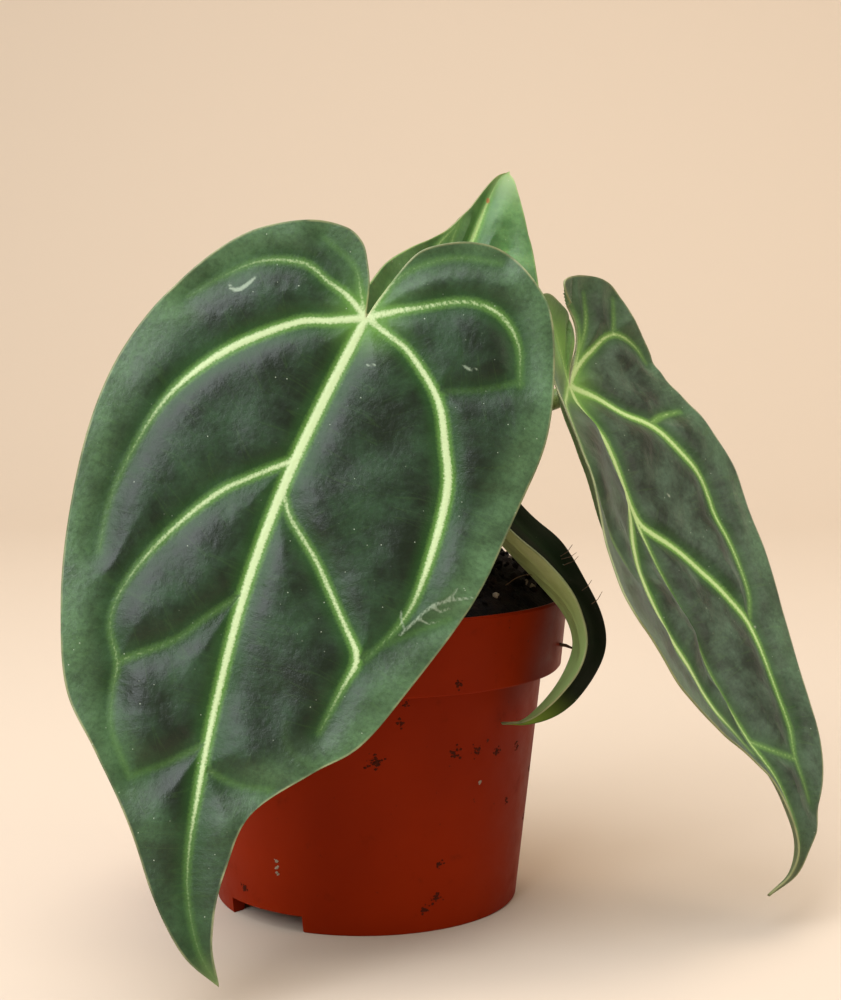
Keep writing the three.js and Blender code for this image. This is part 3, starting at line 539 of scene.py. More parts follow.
# A leaf has its midrib in space and the way it faces, and on each half its fold in degrees at
# places along it and its curl in degrees a millimetre. Its wave is (height, length, start) and
# its bumps are (across, along, radius, rise). Each half's outline runs from the stalk round the
# lobe, whose tip is point number "apex", to the leaf's tip. The "shoulder" is the share of the
# outer edge beside the lobe, "rows" are the mesh's rows in the lobe, its rows in the blade and
# its columns, and the midrib has a half width at places along it.
front_leaf = {
    "name": "leaf_front",
    "spine": [
        (15.5, -59.5, 199.5), (2, -66, 173.5), (-10, -72, 150), (-19.5, -79, 129),
        (-28, -86.5, 105.5), (-34.5, -94, 80), (-39, -101, 56.5), (-41.5, -106, 36),
        (-39, -109, 19.5), (-33.5, -110, 9),
    ],
    "facing": (0.05, -1, 0.2),
    "fold": {"left": [(0, 3)], "right": [(0, 3)]},
    "curl": {"left": -0.15, "right": -0.15},
    "wave": (1, 46, 0.6),
    "ripple": 0.08,
    "bumps": [
        (13, 106, 9, -1.3), (14, 121, 10, 1.2), (-10, 127, 8, -1.3), (-8, 137, 7, 0.9),
        (9, 129, 7, -0.9), (8, 138, 6, 0.8), (-28, 110, 9, -1.1), (-30, 122, 9, 0.9),
        (-12, 147, 7, -0.8), (26, 62, 14, -0.9), (-24, 60, 13, -0.7), (14, 30, 14, -0.6),
    ],
    "relief": 0.3,
    "panel": 1.6,
    "half_width": 58,
    "left": [
        (0, 0), (3, -8), (6, -13), (10, -17.5), (16, -19), (25.5, -16), (38, -5.5), (47, 12),
        (52.5, 32), (52, 52), (48, 76), (43, 95), (37, 112), (27, 124.5), (15, 140.5), (8.5, 155),
        (3.5, 171), (0, 180),
    ],
    "right": [
        (0, 0), (0.8, -7), (3.5, -20), (8, -26), (16, -31), (25, -32.5), (35, -29), (43, -23),
        (50, -11), (55, 2), (57.5, 15), (58, 35), (57, 55), (54, 72), (47, 92), (38, 111),
        (27, 121), (14, 134), (9.5, 150), (4, 168), (0, 180),
    ],
    "apex": {"left": 4, "right": 5},
    "shoulder": 0.2,
    "rows": (44, 196, 94),
    "midrib": [(0, 1.3), (40, 1.35), (75, 1.15), (100, 0.95), (128, 0.75), (142, 0.4), (155, 0.2),
               (180, 0.1)],
    # each vein: its half, then (across, along, half width) at each point
    "veins": [
        ("left", [(0, 0, 0.8), (4, -5, 0.4), (9, -11, 0.16), (19, -14, 0.06)]),
        ("left", [(0, 0, 1.2), (7, -3, 0.8), (13, -4, 0.55), (21, -5.5, 0.5), (31, -1, 0.35),
                  (38, 7, 0.15), (43.5, 15.5, 0.1)]),
        ("left", [(0, 0, 1.3), (8, 5, 1), (15, 9, 0.95), (25, 19.5, 1.05), (32, 29.5, 0.9),
                  (37, 41, 0.55), (39.5, 56, 0.25), (40, 68, 0.15), (38.5, 79, 0.1)]),
        ("left", [(0, 42, 0.8), (9, 51, 0.65), (15.5, 58, 0.7), (24.5, 73, 0.5), (30, 86, 0.26),
                  (30.5, 95, 0.2), (26.5, 103, 0.3), (26, 110, 0.16), (24, 119, 0.1),
                  (17.5, 129, 0.08)]),
        ("left", [(0, 79, 0.2), (8, 88, 0.16), (14, 95, 0.18), (26.5, 103, 0.3)]),
        ("left", [(0, 118, 0.22), (9, 124.5, 0.1), (17.5, 129, 0.1)]),
        ("right", [(0, 0, 0.8), (3, -14, 0.26), (12.5, -24.5, 0.18), (25, -29.5, 0.06)]),
        ("right", [(0, 0, 1.2), (6, -5, 0.9), (11.5, -9, 0.65), (21.5, -16, 0.55), (31, -17, 0.6),
                   (39, -12, 0.4), (44, -2.5, 0.15)]),
        ("right", [(26, 9, 0.01), (36, 3, 0.02), (42, -2, 0.1), (44, -3.5, 0.2)]),
        ("right", [(0, 0, 1), (8, 1.5, 0.8), (15, 3.5, 0.8), (26.5, 11, 0.95), (34, 22, 1.15),
                   (39, 32, 1.2), (41.5, 47.5, 1.05), (42, 66, 0.6), (39.5, 77, 0.3),
                   (34, 88, 0.12)]),
        ("right", [(0, 50, 0.6), (4, 56, 0.55), (10.5, 61.5, 0.6), (16.5, 67, 0.65), (27, 80, 0.7),
                   (32, 88, 0.85), (30, 97.5, 0.45), (27, 110, 0.12)]),
        ("right", [(32, 88, 0.14), (38, 82, 0.06), (52, 68.5, 0.05)]),
        ("right", [(0, 124, 0.2), (9, 127, 0.08), (17.5, 127, 0.06)]),
    ],
    # dry scars: (across, along, half width) at each point
    "scars": [
        [(-35.8, 8.2, 0.1), (-34.9, 9, 0.3), (-33.6, 9.2, 0.35), (-32.4, 8.4, 0.4), (-31.6, 7, 0.4),
         (-30.9, 5.4, 0.3), (-30.4, 3.8, 0.1)],
        [(6.1, 11.3, 0.1), (7, 10.9, 0.2), (7.9, 10.4, 0.1)],
        [(28.4, -0.2, 0.1), (30, 0, 0.25), (32, -0.8, 0.15)],
        [(41, 78, 0.1), (43, 74, 0.2), (45, 69.5, 0.15), (47, 66, 0.3), (50, 63.5, 0.2), (53, 61.5, 0.25),
         (55.5, 60, 0.1)],
        [(46.2, 66.9, 0.1), (49, 67.5, 0.15), (51, 65.5, 0.1)],
        [(44, 71.6, 0.1), (47, 72, 0.1), (49.5, 70.5, 0.05)],
        [(49, 64.3, 0.1), (50.5, 61.5, 0.1), (51, 59, 0.05)],
        [(41.8, 76, 0.05), (40, 73, 0.1), (39.6, 71, 0.05)],
    ],
    # where the tissue is still bright green: (across, along, radius)
    "fresh": [(0, 0, 7)],
    "stalk": [(-2, -9, 93), (-2.5, -12, 112), (-1.5, -30, 144)],
}


def smooth_line(points, steps):
    """A smooth line through the points, with the same number of steps in each span"""
    points = np.array(points, float)
    held = np.vstack([2 * points[0] - points[1], points, 2 * points[-1] - points[-2]])
    u = np.linspace(0, 1, steps, endpoint=False)[:, None]
    spans = []
    for a, b, c, d in zip(held, held[1:], held[2:], held[3:]):
        square = 2 * a - 5 * b + 4 * c - d
        cubic = 3 * b - a - 3 * c + d
        spans.append(0.5 * (2 * b + (c - a) * u + square * u ** 2 + cubic * u ** 3))
    return np.vstack([*spans, points[-1:]])


def lengths_of(line):
    """The running length at each point of a line"""
    return np.append(0, np.cumsum(np.linalg.norm(np.diff(line, axis=0), axis=1)))


def at_length(line, lengths, where):
    """The points of a line at given running lengths"""
    return np.stack([np.interp(where, lengths, column) for column in line.T], -1)


def soft_steps(places, along):
    """A value listed at some places along the leaf, with soft steps from one to the next"""
    value = np.full(np.shape(along), float(places[0][1]))
    for (start, before), (end, after) in zip(places, places[1:]):
        u = np.clip((along - start) / (end - start), 0, 1)
        value += (after - before) * u * u * (3 - 2 * u)
    return value


def hang(leaf):
    """Adds the midrib in space to a leaf, with its running lengths and its direction. Length 0 is
    at the stalk, and the first span before it carries the lobes"""
    line = smooth_line(leaf["spine"], SPINE_STEPS)
    lengths = lengths_of(line)
    lengths -= lengths[SPINE_STEPS]
    back = at_length(line, lengths, np.maximum(lengths[0], lengths - TURN_SPAN))
    ahead = at_length(line, lengths, np.minimum(lengths[-1], lengths + TURN_SPAN))
    leaf["line"] = line
    leaf["lengths"] = lengths
    leaf["length"] = lengths[-1]
    leaf["direction"] = (ahead - back) / np.linalg.norm(ahead - back, axis=1)[:, None]


def leaf_place(leaf, across, along, lift):
    """From the flat leaf to space, in millimetres: folded at the midrib, curled and lifted"""
    across, along, lift = (np.atleast_1d(np.asarray(v, float)) for v in (across, along, lift))
    inside = np.clip(along, leaf["lengths"][0], leaf["length"])
    centre = at_length(leaf["line"], leaf["lengths"], inside)
    ahead = at_length(leaf["direction"], leaf["lengths"], inside)
    ahead /= np.linalg.norm(ahead, axis=1)[:, None]
    centre = centre + ahead * (along - inside)[:, None]
    sideways = np.cross(np.array(leaf["facing"]), ahead)
    sideways /= np.linalg.norm(sideways, axis=1)[:, None]
    up = np.cross(ahead, sideways)
    left = across < 0
    width = abs(across)
    fold = np.radians(np.where(left, soft_steps(leaf["fold"]["left"], along),
                               soft_steps(leaf["fold"]["right"], along)))
    curl = np.radians(np.where(left, leaf["curl"]["left"] or 0.001, leaf["curl"]["right"] or 0.001))
    out = (np.sin(fold + curl * width) - np.sin(fold)) / curl
    rise = (np.cos(fold) - np.cos(fold + curl * width)) / curl
    lean = (fold + curl * width) * np.minimum(1, width / 3)
    side = np.where(left, -1, 1) * (out - np.sin(lean) * lift)
    return centre + sideways * side[:, None] + up * (rise + np.cos(lean) * lift)[:, None]


def nearest(line, x, y):
    """Distance from points to a line of (x, y, ...), and the line's other values there"""
    best = np.full(len(x), np.inf)
    values = np.zeros((len(x), line.shape[1] - 1))
    lengths = lengths_of(line[:, :2])
    for a, b, run, run_on in zip(line, line[1:], lengths, lengths[1:]):
        step = b[:2] - a[:2]
        u = np.clip(((x - a[0]) * step[0] + (y - a[1]) * step[1]) / max(step @ step, 1e-12), 0, 1)
        distance = np.hypot(x - a[0] - u * step[0], y - a[1] - u * step[1])
        closer = distance < best
        best = np.where(closer, distance, best)
        found = np.column_stack([a[2:] + np.outer(u, b[2:] - a[2:]), run + u * (run_on - run)])
        values = np.where(closer[:, None], found, values)
    return best, values


def flat_half(leaf, half):
    """Rows of flat points on one half, each from the notch or the midrib to the outer edge"""
    lobe, body, columns = leaf["rows"]
    edge = smooth_line(leaf[half], LINE_STEPS)
    apex = leaf["apex"][half] * LINE_STEPS
    notch = edge[:apex + 1]
    outer = edge[apex:]
    notch_lengths = lengths_of(notch)
    outer_lengths = lengths_of(outer)
    total = outer_lengths[-1]
    shoulder = total * leaf["shoulder"]
    down = np.linspace(0, 1, body + 1)[1:]
    inner = np.vstack([
        at_length(notch, notch_lengths, np.linspace(notch_lengths[-1], 0, lobe + 1)),
        np.column_stack([0 * down, leaf["length"] * down]),
    ])
    reach = np.append(np.linspace(0, shoulder, lobe + 1), shoulder + (total - shoulder) * down)
    far = at_length(outer, outer_lengths, reach)
    far[-1] = (0, leaf["length"])
    share = np.linspace(0, 1, columns + 1)[None, :, None]
    grid = inner[:, None] * (1 - share) + far[:, None] * share
    return grid, edge


def flat_blade(leaf):
    """Both halves as one flat sheet, a unit thick, with its upper face at height 0"""
    sheet = bmesh.new()
    for half, side in (("left", -1), ("right", 1)):
        grid, _ = flat_half(leaf, half)
        rows, columns = grid.shape[0] - 1, grid.shape[1] - 1
        part = bmesh.ops.create_grid(sheet, x_segments=columns, y_segments=rows, size=0.5)["verts"]
        for v in part:
            x, y = grid[round((v.co.y + 0.5) * rows), round((v.co.x + 0.5) * columns)]
            v.co = (side * x, y, 0)
        if side < 0:
            bmesh.ops.reverse_faces(sheet, faces=sheet.faces)
    bmesh.ops.remove_doubles(sheet, verts=sheet.verts, dist=1e-4)
    bmesh.ops.dissolve_degenerate(sheet, edges=sheet.edges, dist=1e-4)
    bmesh.ops.solidify(sheet, geom=sheet.faces, thickness=1)
    return sheet


def leaf_fields(leaf, across, along):
    """At each flat point: distance to the nearest vein and its half width, distance beyond the
    nearest vein's edge, the run along that vein, and distance to the leaf's edge"""
    shape = np.shape(across)
    lines = [(0, np.array([(0, s, w) for s, w in leaf["midrib"]]))]
    lines += [(-1 if half == "left" else 1, smooth_line(points, VEIN_STEPS))
              for half, points in leaf["veins"]]
    distance = np.full(shape, np.inf)
    beyond = np.full(shape, np.inf)
    width = np.zeros(shape)
    run = np.zeros(shape)
    for side, line in lines:
        mine = (side * across >= 0) if side else np.full(shape, True)
        x, y = abs(across[mine]), along[mine]
        found, values = nearest(line, x, y)
        closer = found < distance[mine]
        distance[mine] = np.where(closer, found, distance[mine])
        past = found - values[:, 0]
        nearer = past < beyond[mine]
        beyond[mine] = np.where(nearer, past, beyond[mine])
        width[mine] = np.where(nearer, values[:, 0], width[mine])
        run[mine] = np.where(nearer, values[:, 1] + HALF_SHIFT * side, run[mine])
    margin = np.full(shape, np.inf)
    for half, side in (("left", -1), ("right", 1)):
        _, edge = flat_half(leaf, half)
        outline = edge[::3] * (side, 1)
        found, _ = nearest(np.column_stack([outline, outline[:, 0]]), across, along)
        margin = np.minimum(margin, found)
    return distance, beyond, width, run, margin


def blade(leaf, upper, lower):
    """The whole blade as one closed piece, with what its materials read as attributes"""
    hang(leaf)
    sheet = flat_blade(leaf)
    flat = np.array([v.co for v in sheet.verts])
    across, along = flat[:, 0], flat[:, 1]
    under = abs(flat[:, 2]) > 0.5
    for face in sheet.faces:
        low = [abs(v.co.z) > 0.5 for v in face.verts]
        face.material_index = 0 if not any(low) else 1 if all(low) else 2
    distance, beyond, width, run, margin = leaf_fields(leaf, across, along)

    # the relief: panels that swell between the veins, waves towards the margin, fine ripples
    # across the panels, the leaf's own bumps and low hills, with raised veins and deeper ribs
    height, length, start = leaf["wave"]
    swell = leaf["panel"] * (1 - np.exp(-(distance / PANEL_WIDTH) ** 2))
    wave = np.sin(2 * math.pi * along / length + start)
    lift = swell + height * (across / leaf["half_width"]) ** 2 * wave
    weave = np.sin(run * 0.85 + 1.7 * np.sin(run * 0.23)) * np.sin(along * 0.31 + across * 0.12)
    lift += leaf["ripple"] * weave * np.clip(distance / 7, 0, 1) * np.clip(margin / 5, 0, 1)
    for centre, down, radius, rise in leaf["bumps"]:
        lift += rise * np.exp(-((across - centre) ** 2 + (along - down) ** 2) / radius ** 2)
    hills = [noise.noise(Vector((x / HILL_SIZE, y / HILL_SIZE, leaf["panel"])))
             for x, y in zip(across, along)]
    held = np.clip(distance / 5, 0.25, 1) * np.clip(margin / 7, 0.15, 1)
    lift += leaf["relief"] * 2 * np.array(hills) * held
    rib = RIB_DEPTH * np.minimum(1, width + 0.2) * np.exp(-distance ** 2)
    raised = VEIN_RISE * width * np.exp(-(distance / VEIN_SOFTNESS) ** 2)
    thick = MARGIN_THICKNESS + (BLADE_THICKNESS - MARGIN_THICKNESS) * np.clip(margin / 4, 0, 1)
    lift = np.where(under, lift - thick - rib, lift + raised)
    places = leaf_place(leaf, across, along, lift) * MM
    for v, point in zip(sheet.verts, places):
        v.co = point
    bmesh.ops.recalc_face_normals(sheet, faces=sheet.faces)

    # what the skins read: scars, the fresh tissue where the stalk joins, and the fields
    hurt = np.full(len(across), NO_SCAR)
    for scar in leaf["scars"]:
        found, values = nearest(np.array(scar, float), across, along)
        hurt = np.minimum(hurt, found - values[:, 0])
    junction = np.zeros(len(across))
    for centre, down, radius in leaf["fresh"]:
        near = np.exp(-((across - centre) ** 2 + (along - down) ** 2) / radius ** 2)
        junction = np.maximum(junction, near)
    piece = new_piece(leaf["name"] + "_blade", sheet, [upper, lower, margin_tissue])
    fields = {"beyond": beyond, "width": width, "margin": margin, "junction": junction, "hurt": hurt}
    for name, values in fields.items():
        layer = piece.data.attributes.new(name, "FLOAT", "POINT")
        layer.data.foreach_set("value", values.astype(np.float32))
    for name, values in {"flat": (across, along, 0 * across), "run": (run, distance, 0 * run)}.items():
        layer = piece.data.attributes.new(name, "FLOAT_VECTOR", "POINT")
        layer.data.foreach_set("vector", np.column_stack(values).astype(np.float32).ravel())
    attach(piece, "root")
    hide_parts(leaf["name"])
    return piece


def stalk(leaf):
    """The round stalk, thicker at its knee, that ends inside the blade's thickness"""
    ends = [leaf_place(leaf, 0, KNEE_ALONG, -back)[0] for back in (KNEE_LENGTH, 3, 0.5)]
    points = [*leaf["stalk"], *ends]
    radii = [STALK_RADIUS] * len(leaf["stalk"]) + [KNEE_RADIUS, KNEE_RADIUS - 0.3, 1]
    line = smooth_line([(*p, r) for p, r in zip(points, radii)], LINE_STEPS)
    piece = tube(leaf["name"] + "_stalk", [[(p[:3], p[3]) for p in line]], stalk_rind, 5)
    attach(piece, "root")
    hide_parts(leaf["name"])
    return piece


DUST = "#aeb9a4"
TIMES = {"operation": "MULTIPLY"}
TIMES_PLUS = {"operation": "MULTIPLY_ADD"}


def leaf_skin(name, colours, relief, gloss, tip, **surface):
    """One face of a blade: mottled panels, paler towards the margin, rich green beside the veins,
    a soft halo and a feathered pale core on each vein, a broken cream line at the margin, a tinted
    tip, and dry scars where the skin was hurt. On the mature upper skins the lighter clouds are
    partly mottle and partly painted reflection, and the paler margin is a painted sheen. The colours
    are those of the deep panel, the mottle with its painted reflection, the paler margin with its
    painted sheen, the rich green, halo, core, cream line, tip and scar"""
    deep, mottle_and_reflection, pale_margin_and_sheen, rich, halo, core, cream, end, scar = [linear(code) for code in colours]
    material, tree, shader = new_material(name, **surface)
    flat, runs = [
        add_node(tree, "Attribute", attribute_name=field).outputs["Vector"] for field in ("flat", "run")
    ]
    beyond, width, margin, junction, hurt = [
        add_node(tree, "Attribute", attribute_name=field).outputs["Fac"]
        for field in ("beyond", "width", "margin", "junction", "hurt")
    ]
    along = add_node(tree, "SeparateXYZ", {0: flat}).outputs[1]

    # panels: deep green and a lighter tone in clouds of 15 mm, paler within 14 mm of the margin but
    # not at the tip, with dark pores of 1.4 mm. On the mature upper skins the lighter clouds are partly
    # painted reflection, and the paler margin is a painted sheen
    cloud = add_node(tree, "TexNoise", {"Vector": flat, "Scale": 1 / 15, "Detail": 5.0, "Roughness": 0.62})
    cloud_share = add_node(tree, "MapRange", {0: cloud, 1: 0.36, 2: 0.68}, **SOFT)
    zone_near = add_node(tree, "MapRange", {0: margin, 1: 14.0, 2: 1.0}, **SOFT)
    zone_cloud = add_node(tree, "MapRange", {0: cloud, 1: 0.35, 2: 0.65, 3: 0.35, 4: 0.85})
    zone_end = add_node(tree, "MapRange", {0: along, 1: tip[0] - 45, 2: tip[0] - 25, 3: 1.0, 4: 0.3})
    zone_most = add_node(tree, "Math", {0: zone_near, 1: zone_cloud}, **TIMES)
    pale_margin_and_sheen_share = add_node(tree, "Math", {0: zone_most, 1: zone_end}, **TIMES)
    pores = add_node(tree, "TexNoise", {"Vector": flat, "Scale": 1 / 1.4, "Detail": 5.0, "Roughness": 0.7})
    pore_share = add_node(tree, "MapRange", {0: pores, 1: 0.42, 2: 0.7, 3: 0.0, 4: 0.45})

    # the finest side veins: faint lines that run out square from the veins, 6 mm apart
    stretched = add_node(tree, "Mapping", {"Vector": runs, "Scale": (1 / 6, 1 / 70, 1)})
    net = add_node(tree, "TexNoise", {"Vector": stretched, "Scale": 1.0, "Detail": 2.0, "Distortion": 0.12})
    off = add_node(tree, "Math", {0: net, 1: 0.5}, operation="SUBTRACT")
    near = add_node(tree, "Math", {0: off}, operation="ABSOLUTE")
    threads = add_node(tree, "MapRange", {0: near, 1: 0.012, 2: 0.0, 3: 0.0, 4: 0.05}, **SOFT)

    # beside a vein, feathered by 0.6 mm grain: rich green to 5 mm, then the halo, then the core,
    # each the stronger the broader the vein, and all fresh green where the stalk joins
    grain = add_node(tree, "TexNoise", {"Vector": flat, "Scale": 1 / 0.6, "Detail": 3.0})
    feather = add_node(tree, "Math", {0: grain, 1: 1.1, 2: -0.55}, **TIMES_PLUS)
    rough_edge = add_node(tree, "Math", {0: beyond, 1: feather}, operation="ADD")
    broad = add_node(tree, "MapRange", {0: width, 1: 0.02, 2: 0.85})
    rich_near = add_node(tree, "MapRange", {0: rough_edge, 1: 5.0, 2: 0.3}, **SOFT)
    rich_strength = add_node(tree, "Math", {0: broad, 1: 0.5, 2: 0.3}, **TIMES_PLUS)
    rich_share = add_node(tree, "Math", {0: rich_near, 1: rich_strength}, **TIMES)
    halo_near = add_node(tree, "MapRange", {0: rough_edge, 1: 1.6, 2: -0.3}, **SOFT)
    halo_strength = add_node(tree, "Math", {0: broad, 1: 0.65, 2: 0.16}, **TIMES_PLUS)
    halo_share = add_node(tree, "Math", {0: halo_near, 1: halo_strength}, **TIMES)
    core_near = add_node(tree, "MapRange", {0: rough_edge, 1: 0.15, 2: -0.9}, **SOFT)
    core_share = add_node(tree, "Math", {0: core_near, 1: broad}, **TIMES)
    fresh_share = add_node(tree, "Math", {0: junction, 1: 0.92}, **TIMES)

    # the tip, the margin's cream line of 0.5 mm broken by 9 mm clouds, pale specks of dust about
    # 3 mm apart, and torn dry scars
    tip_share = add_node(tree, "MapRange", {0: along, 1: tip[0], 2: tip[1], 3: 0.0, 4: 0.85}, **SOFT)
    breaks = add_node(tree, "TexNoise", {"Vector": flat, "Scale": 1 / 9, "Detail": 3.0})
    break_share = add_node(tree, "MapRange", {0: breaks, 1: 0.35, 2: 0.62, 3: 0.1, 4: 0.6})
    line_share = add_node(tree, "MapRange", {0: margin, 1: 0.7, 2: 0.1}, **SOFT)
    edge_share = add_node(tree, "Math", {0: line_share, 1: break_share}, **TIMES)
    dots = add_node(tree, "TexVoronoi", {"Vector": flat, "Scale": 1 / 3.2}).outputs["Distance"]
    dot_share = add_node(tree, "MapRange", {0: dots, 1: 0.07, 2: 0.025}, **SOFT)
    dusty = add_node(tree, "MapRange", {0: breaks, 1: 0.4, 2: 0.55, 3: 0.1, 4: 0.7}, **SOFT)
    dust_share = add_node(tree, "Math", {0: dot_share, 1: dusty}, **TIMES)
    torn = add_node(tree, "Math", {0: feather, 1: 0.5, 2: hurt}, **TIMES_PLUS)
    scar_share = add_node(tree, "MapRange", {0: torn, 1: 0.45, 2: -0.2, 3: 0.0, 4: 0.75}, **SOFT)

    # the colour in layers, among them the painted reflection in the clouds and the painted sheen by the
    # margin
    layers = [
        (cloud_share, mottle_and_reflection), (pale_margin_and_sheen_share, pale_margin_and_sheen), (pore_share, deep), (threads, halo),
        (rich_share, rich), (halo_share, halo), (core_share, core), (fresh_share, halo),
        (core_share, core), (tip_share, end), (edge_share, cream), (dust_share, linear(DUST)),
        (scar_share, scar),
    ]
    skin = deep
    for share, colour in layers:
        skin = add_node(tree, "Mix", {0: share, 6: skin, 7: colour}, **COLOURS)

    # gloss that changes with the same clouds, and leathery relief: 1.7 mm wrinkles and 0.4 mm grain
    roughness = add_node(tree, "MapRange", {0: cloud, 1: 0.3, 2: 0.7, 3: gloss, 4: gloss + 0.14})
    wrinkle = add_node(tree, "TexNoise", {"Vector": flat, "Scale": 1 / 1.7, "Detail": 4.0})
    fine = add_node(tree, "TexNoise", {"Vector": flat, "Scale": 1 / 0.4, "Detail": 2.0})
    leather = add_node(tree, "Math", {0: fine, 1: 0.2, 2: wrinkle}, **TIMES_PLUS)
    height = add_node(tree, "Math", {0: threads, 1: 0.8, 2: leather}, **TIMES_PLUS)
    bump = add_node(tree, "Bump", {"Strength": relief, "Distance": 0.0005, "Height": height})
    fill(shader, {"Base Color": skin, "Roughness": roughness, "Normal": bump})
    return material


# Mature upper skin: velvety cells over dark green tissue, so the blade is dark where it is seen
# straight on and blue-grey where light grazes it. Its lighter clouds are partly mottle and partly
# painted reflection, and its pale margin is painted sheen.
mature_upper = leaf_skin("front_leaf_upper",
                         ("#0a1b07", "#223f22", "#56784e", "#1b4510", "#5f8c3a", "#bccf9c",
                          "#a9a87a", "#5f7040", "#93a38b"),
                         relief=0.34, gloss=0.36, tip=(168, 183), Sheen_Weight=0.08, Sheen_Roughness=0.4,
                         Sheen_Tint=linear("#b9cbd0"), Specular_IOR_Level=0.38)
# Mature lower skin: matt, paler and yellower, with the ribs standing out.
mature_lower = leaf_skin("mature_leaf_lower",
                         ("#46582f", "#5a6c42", "#5a6c42", "#4c6330", "#6d8548", "#a3b47a",
                          "#b9b888", "#6d7a3c", "#8b9a84"),
                         relief=0.4, gloss=0.55, tip=(164, 182))
# The cut edge of the blade: a thin cream line of clear tissue, browner and greener in turn.
margin_tissue = two_tone("leaf_margin", "#4f6532", "#a3a274", 6, field="flat", Roughness=0.5)
# Stalk: smooth green rind with fine streaks along it.
stalk_rind = two_tone("leaf_stalk", "#4d6a2e", "#93a45c", 0.0012, detail=4.0, stretch=0.12,
                      relief=(0.3, 0.0003), Roughness=0.45)

blade(front_leaf, mature_upper, mature_lower)
stalk(front_leaf)


# Right leaf. The long narrow blade faces away to the right, folded along its midrib, so that
# its near half is seen nearly edge-on. It is the most deeply quilted of the four.
right_leaf = {
    "name": "leaf_right",
    "spine": [
        (59, -7, 179), (59.5, -13, 154), (70.5, -17, 136), (79.5, -22, 112.5), (93, -27, 85),
        (106, -32, 59.5), (118.5, -35, 41), (124, -36, 26), (122.5, -37, 16), (116, -37, 9),
    ],
    "facing": (0.87, -0.48, 0.3),
    "fold": {
        "left": [(-25, 2), (-6, 4), (8, 10), (25, 7), (50, 4), (100, 4), (166, 9)],
        "right": [(0, 12)],
    },
    "curl": {"left": 0.2, "right": 0},
    "wave": (0.6, 38, 2),
    "ripple": 0.12,
    "bumps": [(-7, 80, 7, 2.1), (-8, 66, 6, 1), (40, 60, 10, 0.8), (22, 35, 10, -0.8), (12, 85, 11, -0.8)],
    "relief": 0.55,
    "panel": 2,
    "half_width": 57,
    "left": [
        (0, 0), (-1.5, -4), (-3.5, -10), (-3.5, -15), (-0.5, -19.5), (6, -22.5), (15, -24),
        (22, -21), (25.5, -14), (23, -6), (20, 1), (27, 10), (32, 18), (36.5, 25.5), (40.5, 35),
        (42, 44), (45.5, 53), (49.5, 61.5), (50, 69), (46, 75), (38.5, 89), (28.5, 99),
        (21, 107), (11, 117), (7, 127), (7, 136), (5.5, 147), (2, 158), (0, 166),
    ],
    "right": [
        (0, 0), (3.5, -6), (5.5, -12), (5, -17.5), (2, -22.5), (-3.5, -26.5), (-5, -30),
        (1.5, -33), (9, -34.5), (16, -34.5), (22.5, -33), (28.5, -27.5), (39, -16), (45, -3),
        (48, 9), (52, 26), (57, 41), (55.5, 56), (50, 75), (44, 95), (34, 116), (24.5, 130),
        (12.5, 141), (5, 149), (2.5, 157), (0, 166),
    ],
    "apex": {"left": 6, "right": 7},
    "shoulder": 0.2,
    "rows": (40, 170, 88),
    "midrib": [(0, 1.2), (38, 1.1), (55, 0.5), (70, 0.32), (95, 0.35), (112, 0.6), (135, 0.4),
               (150, 0.2), (166, 0.1)],
    "veins": [
        ("left", [(0, 0, 0.6), (3, -8, 0.5), (10, -17, 0.25), (17, -19, 0.1)]),
        ("left", [(0, 0, 0.9), (8, 4, 0.7), (18, 8, 0.6), (26, 15, 0.6), (30, 24, 0.55),
                  (31, 36, 0.5), (29, 46, 0.3), (26, 56, 0.1)]),
        ("left", [(0, 36, 1.1), (4, 43, 1.1), (12.5, 52, 1.1), (19, 64, 1.1), (19.5, 76, 1.1),
                  (15.5, 90, 1), (12, 101, 0.8), (7.5, 108, 0.5), (3, 118, 0.2)]),
        ("left", [(0, 0, 0.9), (-0.5, -5, 0.8), (-2, -11, 0.5), (-2, -16, 0.3)]),
        ("right", [(0, 0, 0.9), (4.5, -6, 0.7), (6.5, -12, 0.4), (6, -18, 0.25), (3, -23, 0.2),
                   (0, -28, 0.12)]),
        ("right", [(0, 0, 0.6), (7, -12, 0.35), (9, -20, 0.4), (8, -29, 0.15)]),
        ("right", [(0, 0, 1.3), (6, -6, 1), (12, -11, 0.85), (22, -18.5, 0.65), (33, -16, 0.45),
                   (40, -8, 0.15)]),
        ("right", [(22, -18.5, 0.35), (22.5, -24, 0.3), (22, -30, 0.15)]),
        ("right", [(0, 0, 1.3), (10, 5, 1.1), (17.5, 13, 1), (25.5, 19, 0.95), (32, 26.5, 0.85),
                   (40, 39, 0.7), (39, 54, 0.6), (38, 68, 0.5), (36, 78, 0.4), (31, 84.5, 0.3)]),
        ("right", [(25.5, 19, 0.5), (34.5, 17.5, 0.45), (44.5, 18, 0.25)]),
        ("right", [(0, 40, 1), (2, 46.5, 1), (11, 55, 0.95), (18.5, 65, 0.9), (24.5, 75.5, 0.85),
                   (29, 86, 0.8), (28, 98, 0.6), (25, 108.5, 0.5), (20, 119.5, 0.4),
                   (13.5, 127.5, 0.3), (10.5, 138, 0.15)]),
        ("right", [(0, 115, 0.4), (7, 122, 0.3), (13.5, 127.5, 0.3)]),
    ],
    "scars": [[(18, 40, 0.2), (18.6, 40.8, 0.2)], [(31, 88, 0.2), (31.5, 88.4, 0.2)],
              [(38, 111, 0.2), (39.2, 111.6, 0.25)]],
    "fresh": [(0, 0, 8), (-7, -10, 10), (-15, -14, 9), (4, -12, 4)],
    "stalk": [(8, 2, 93), (11, 3, 112), (29, 3, 140)],
}
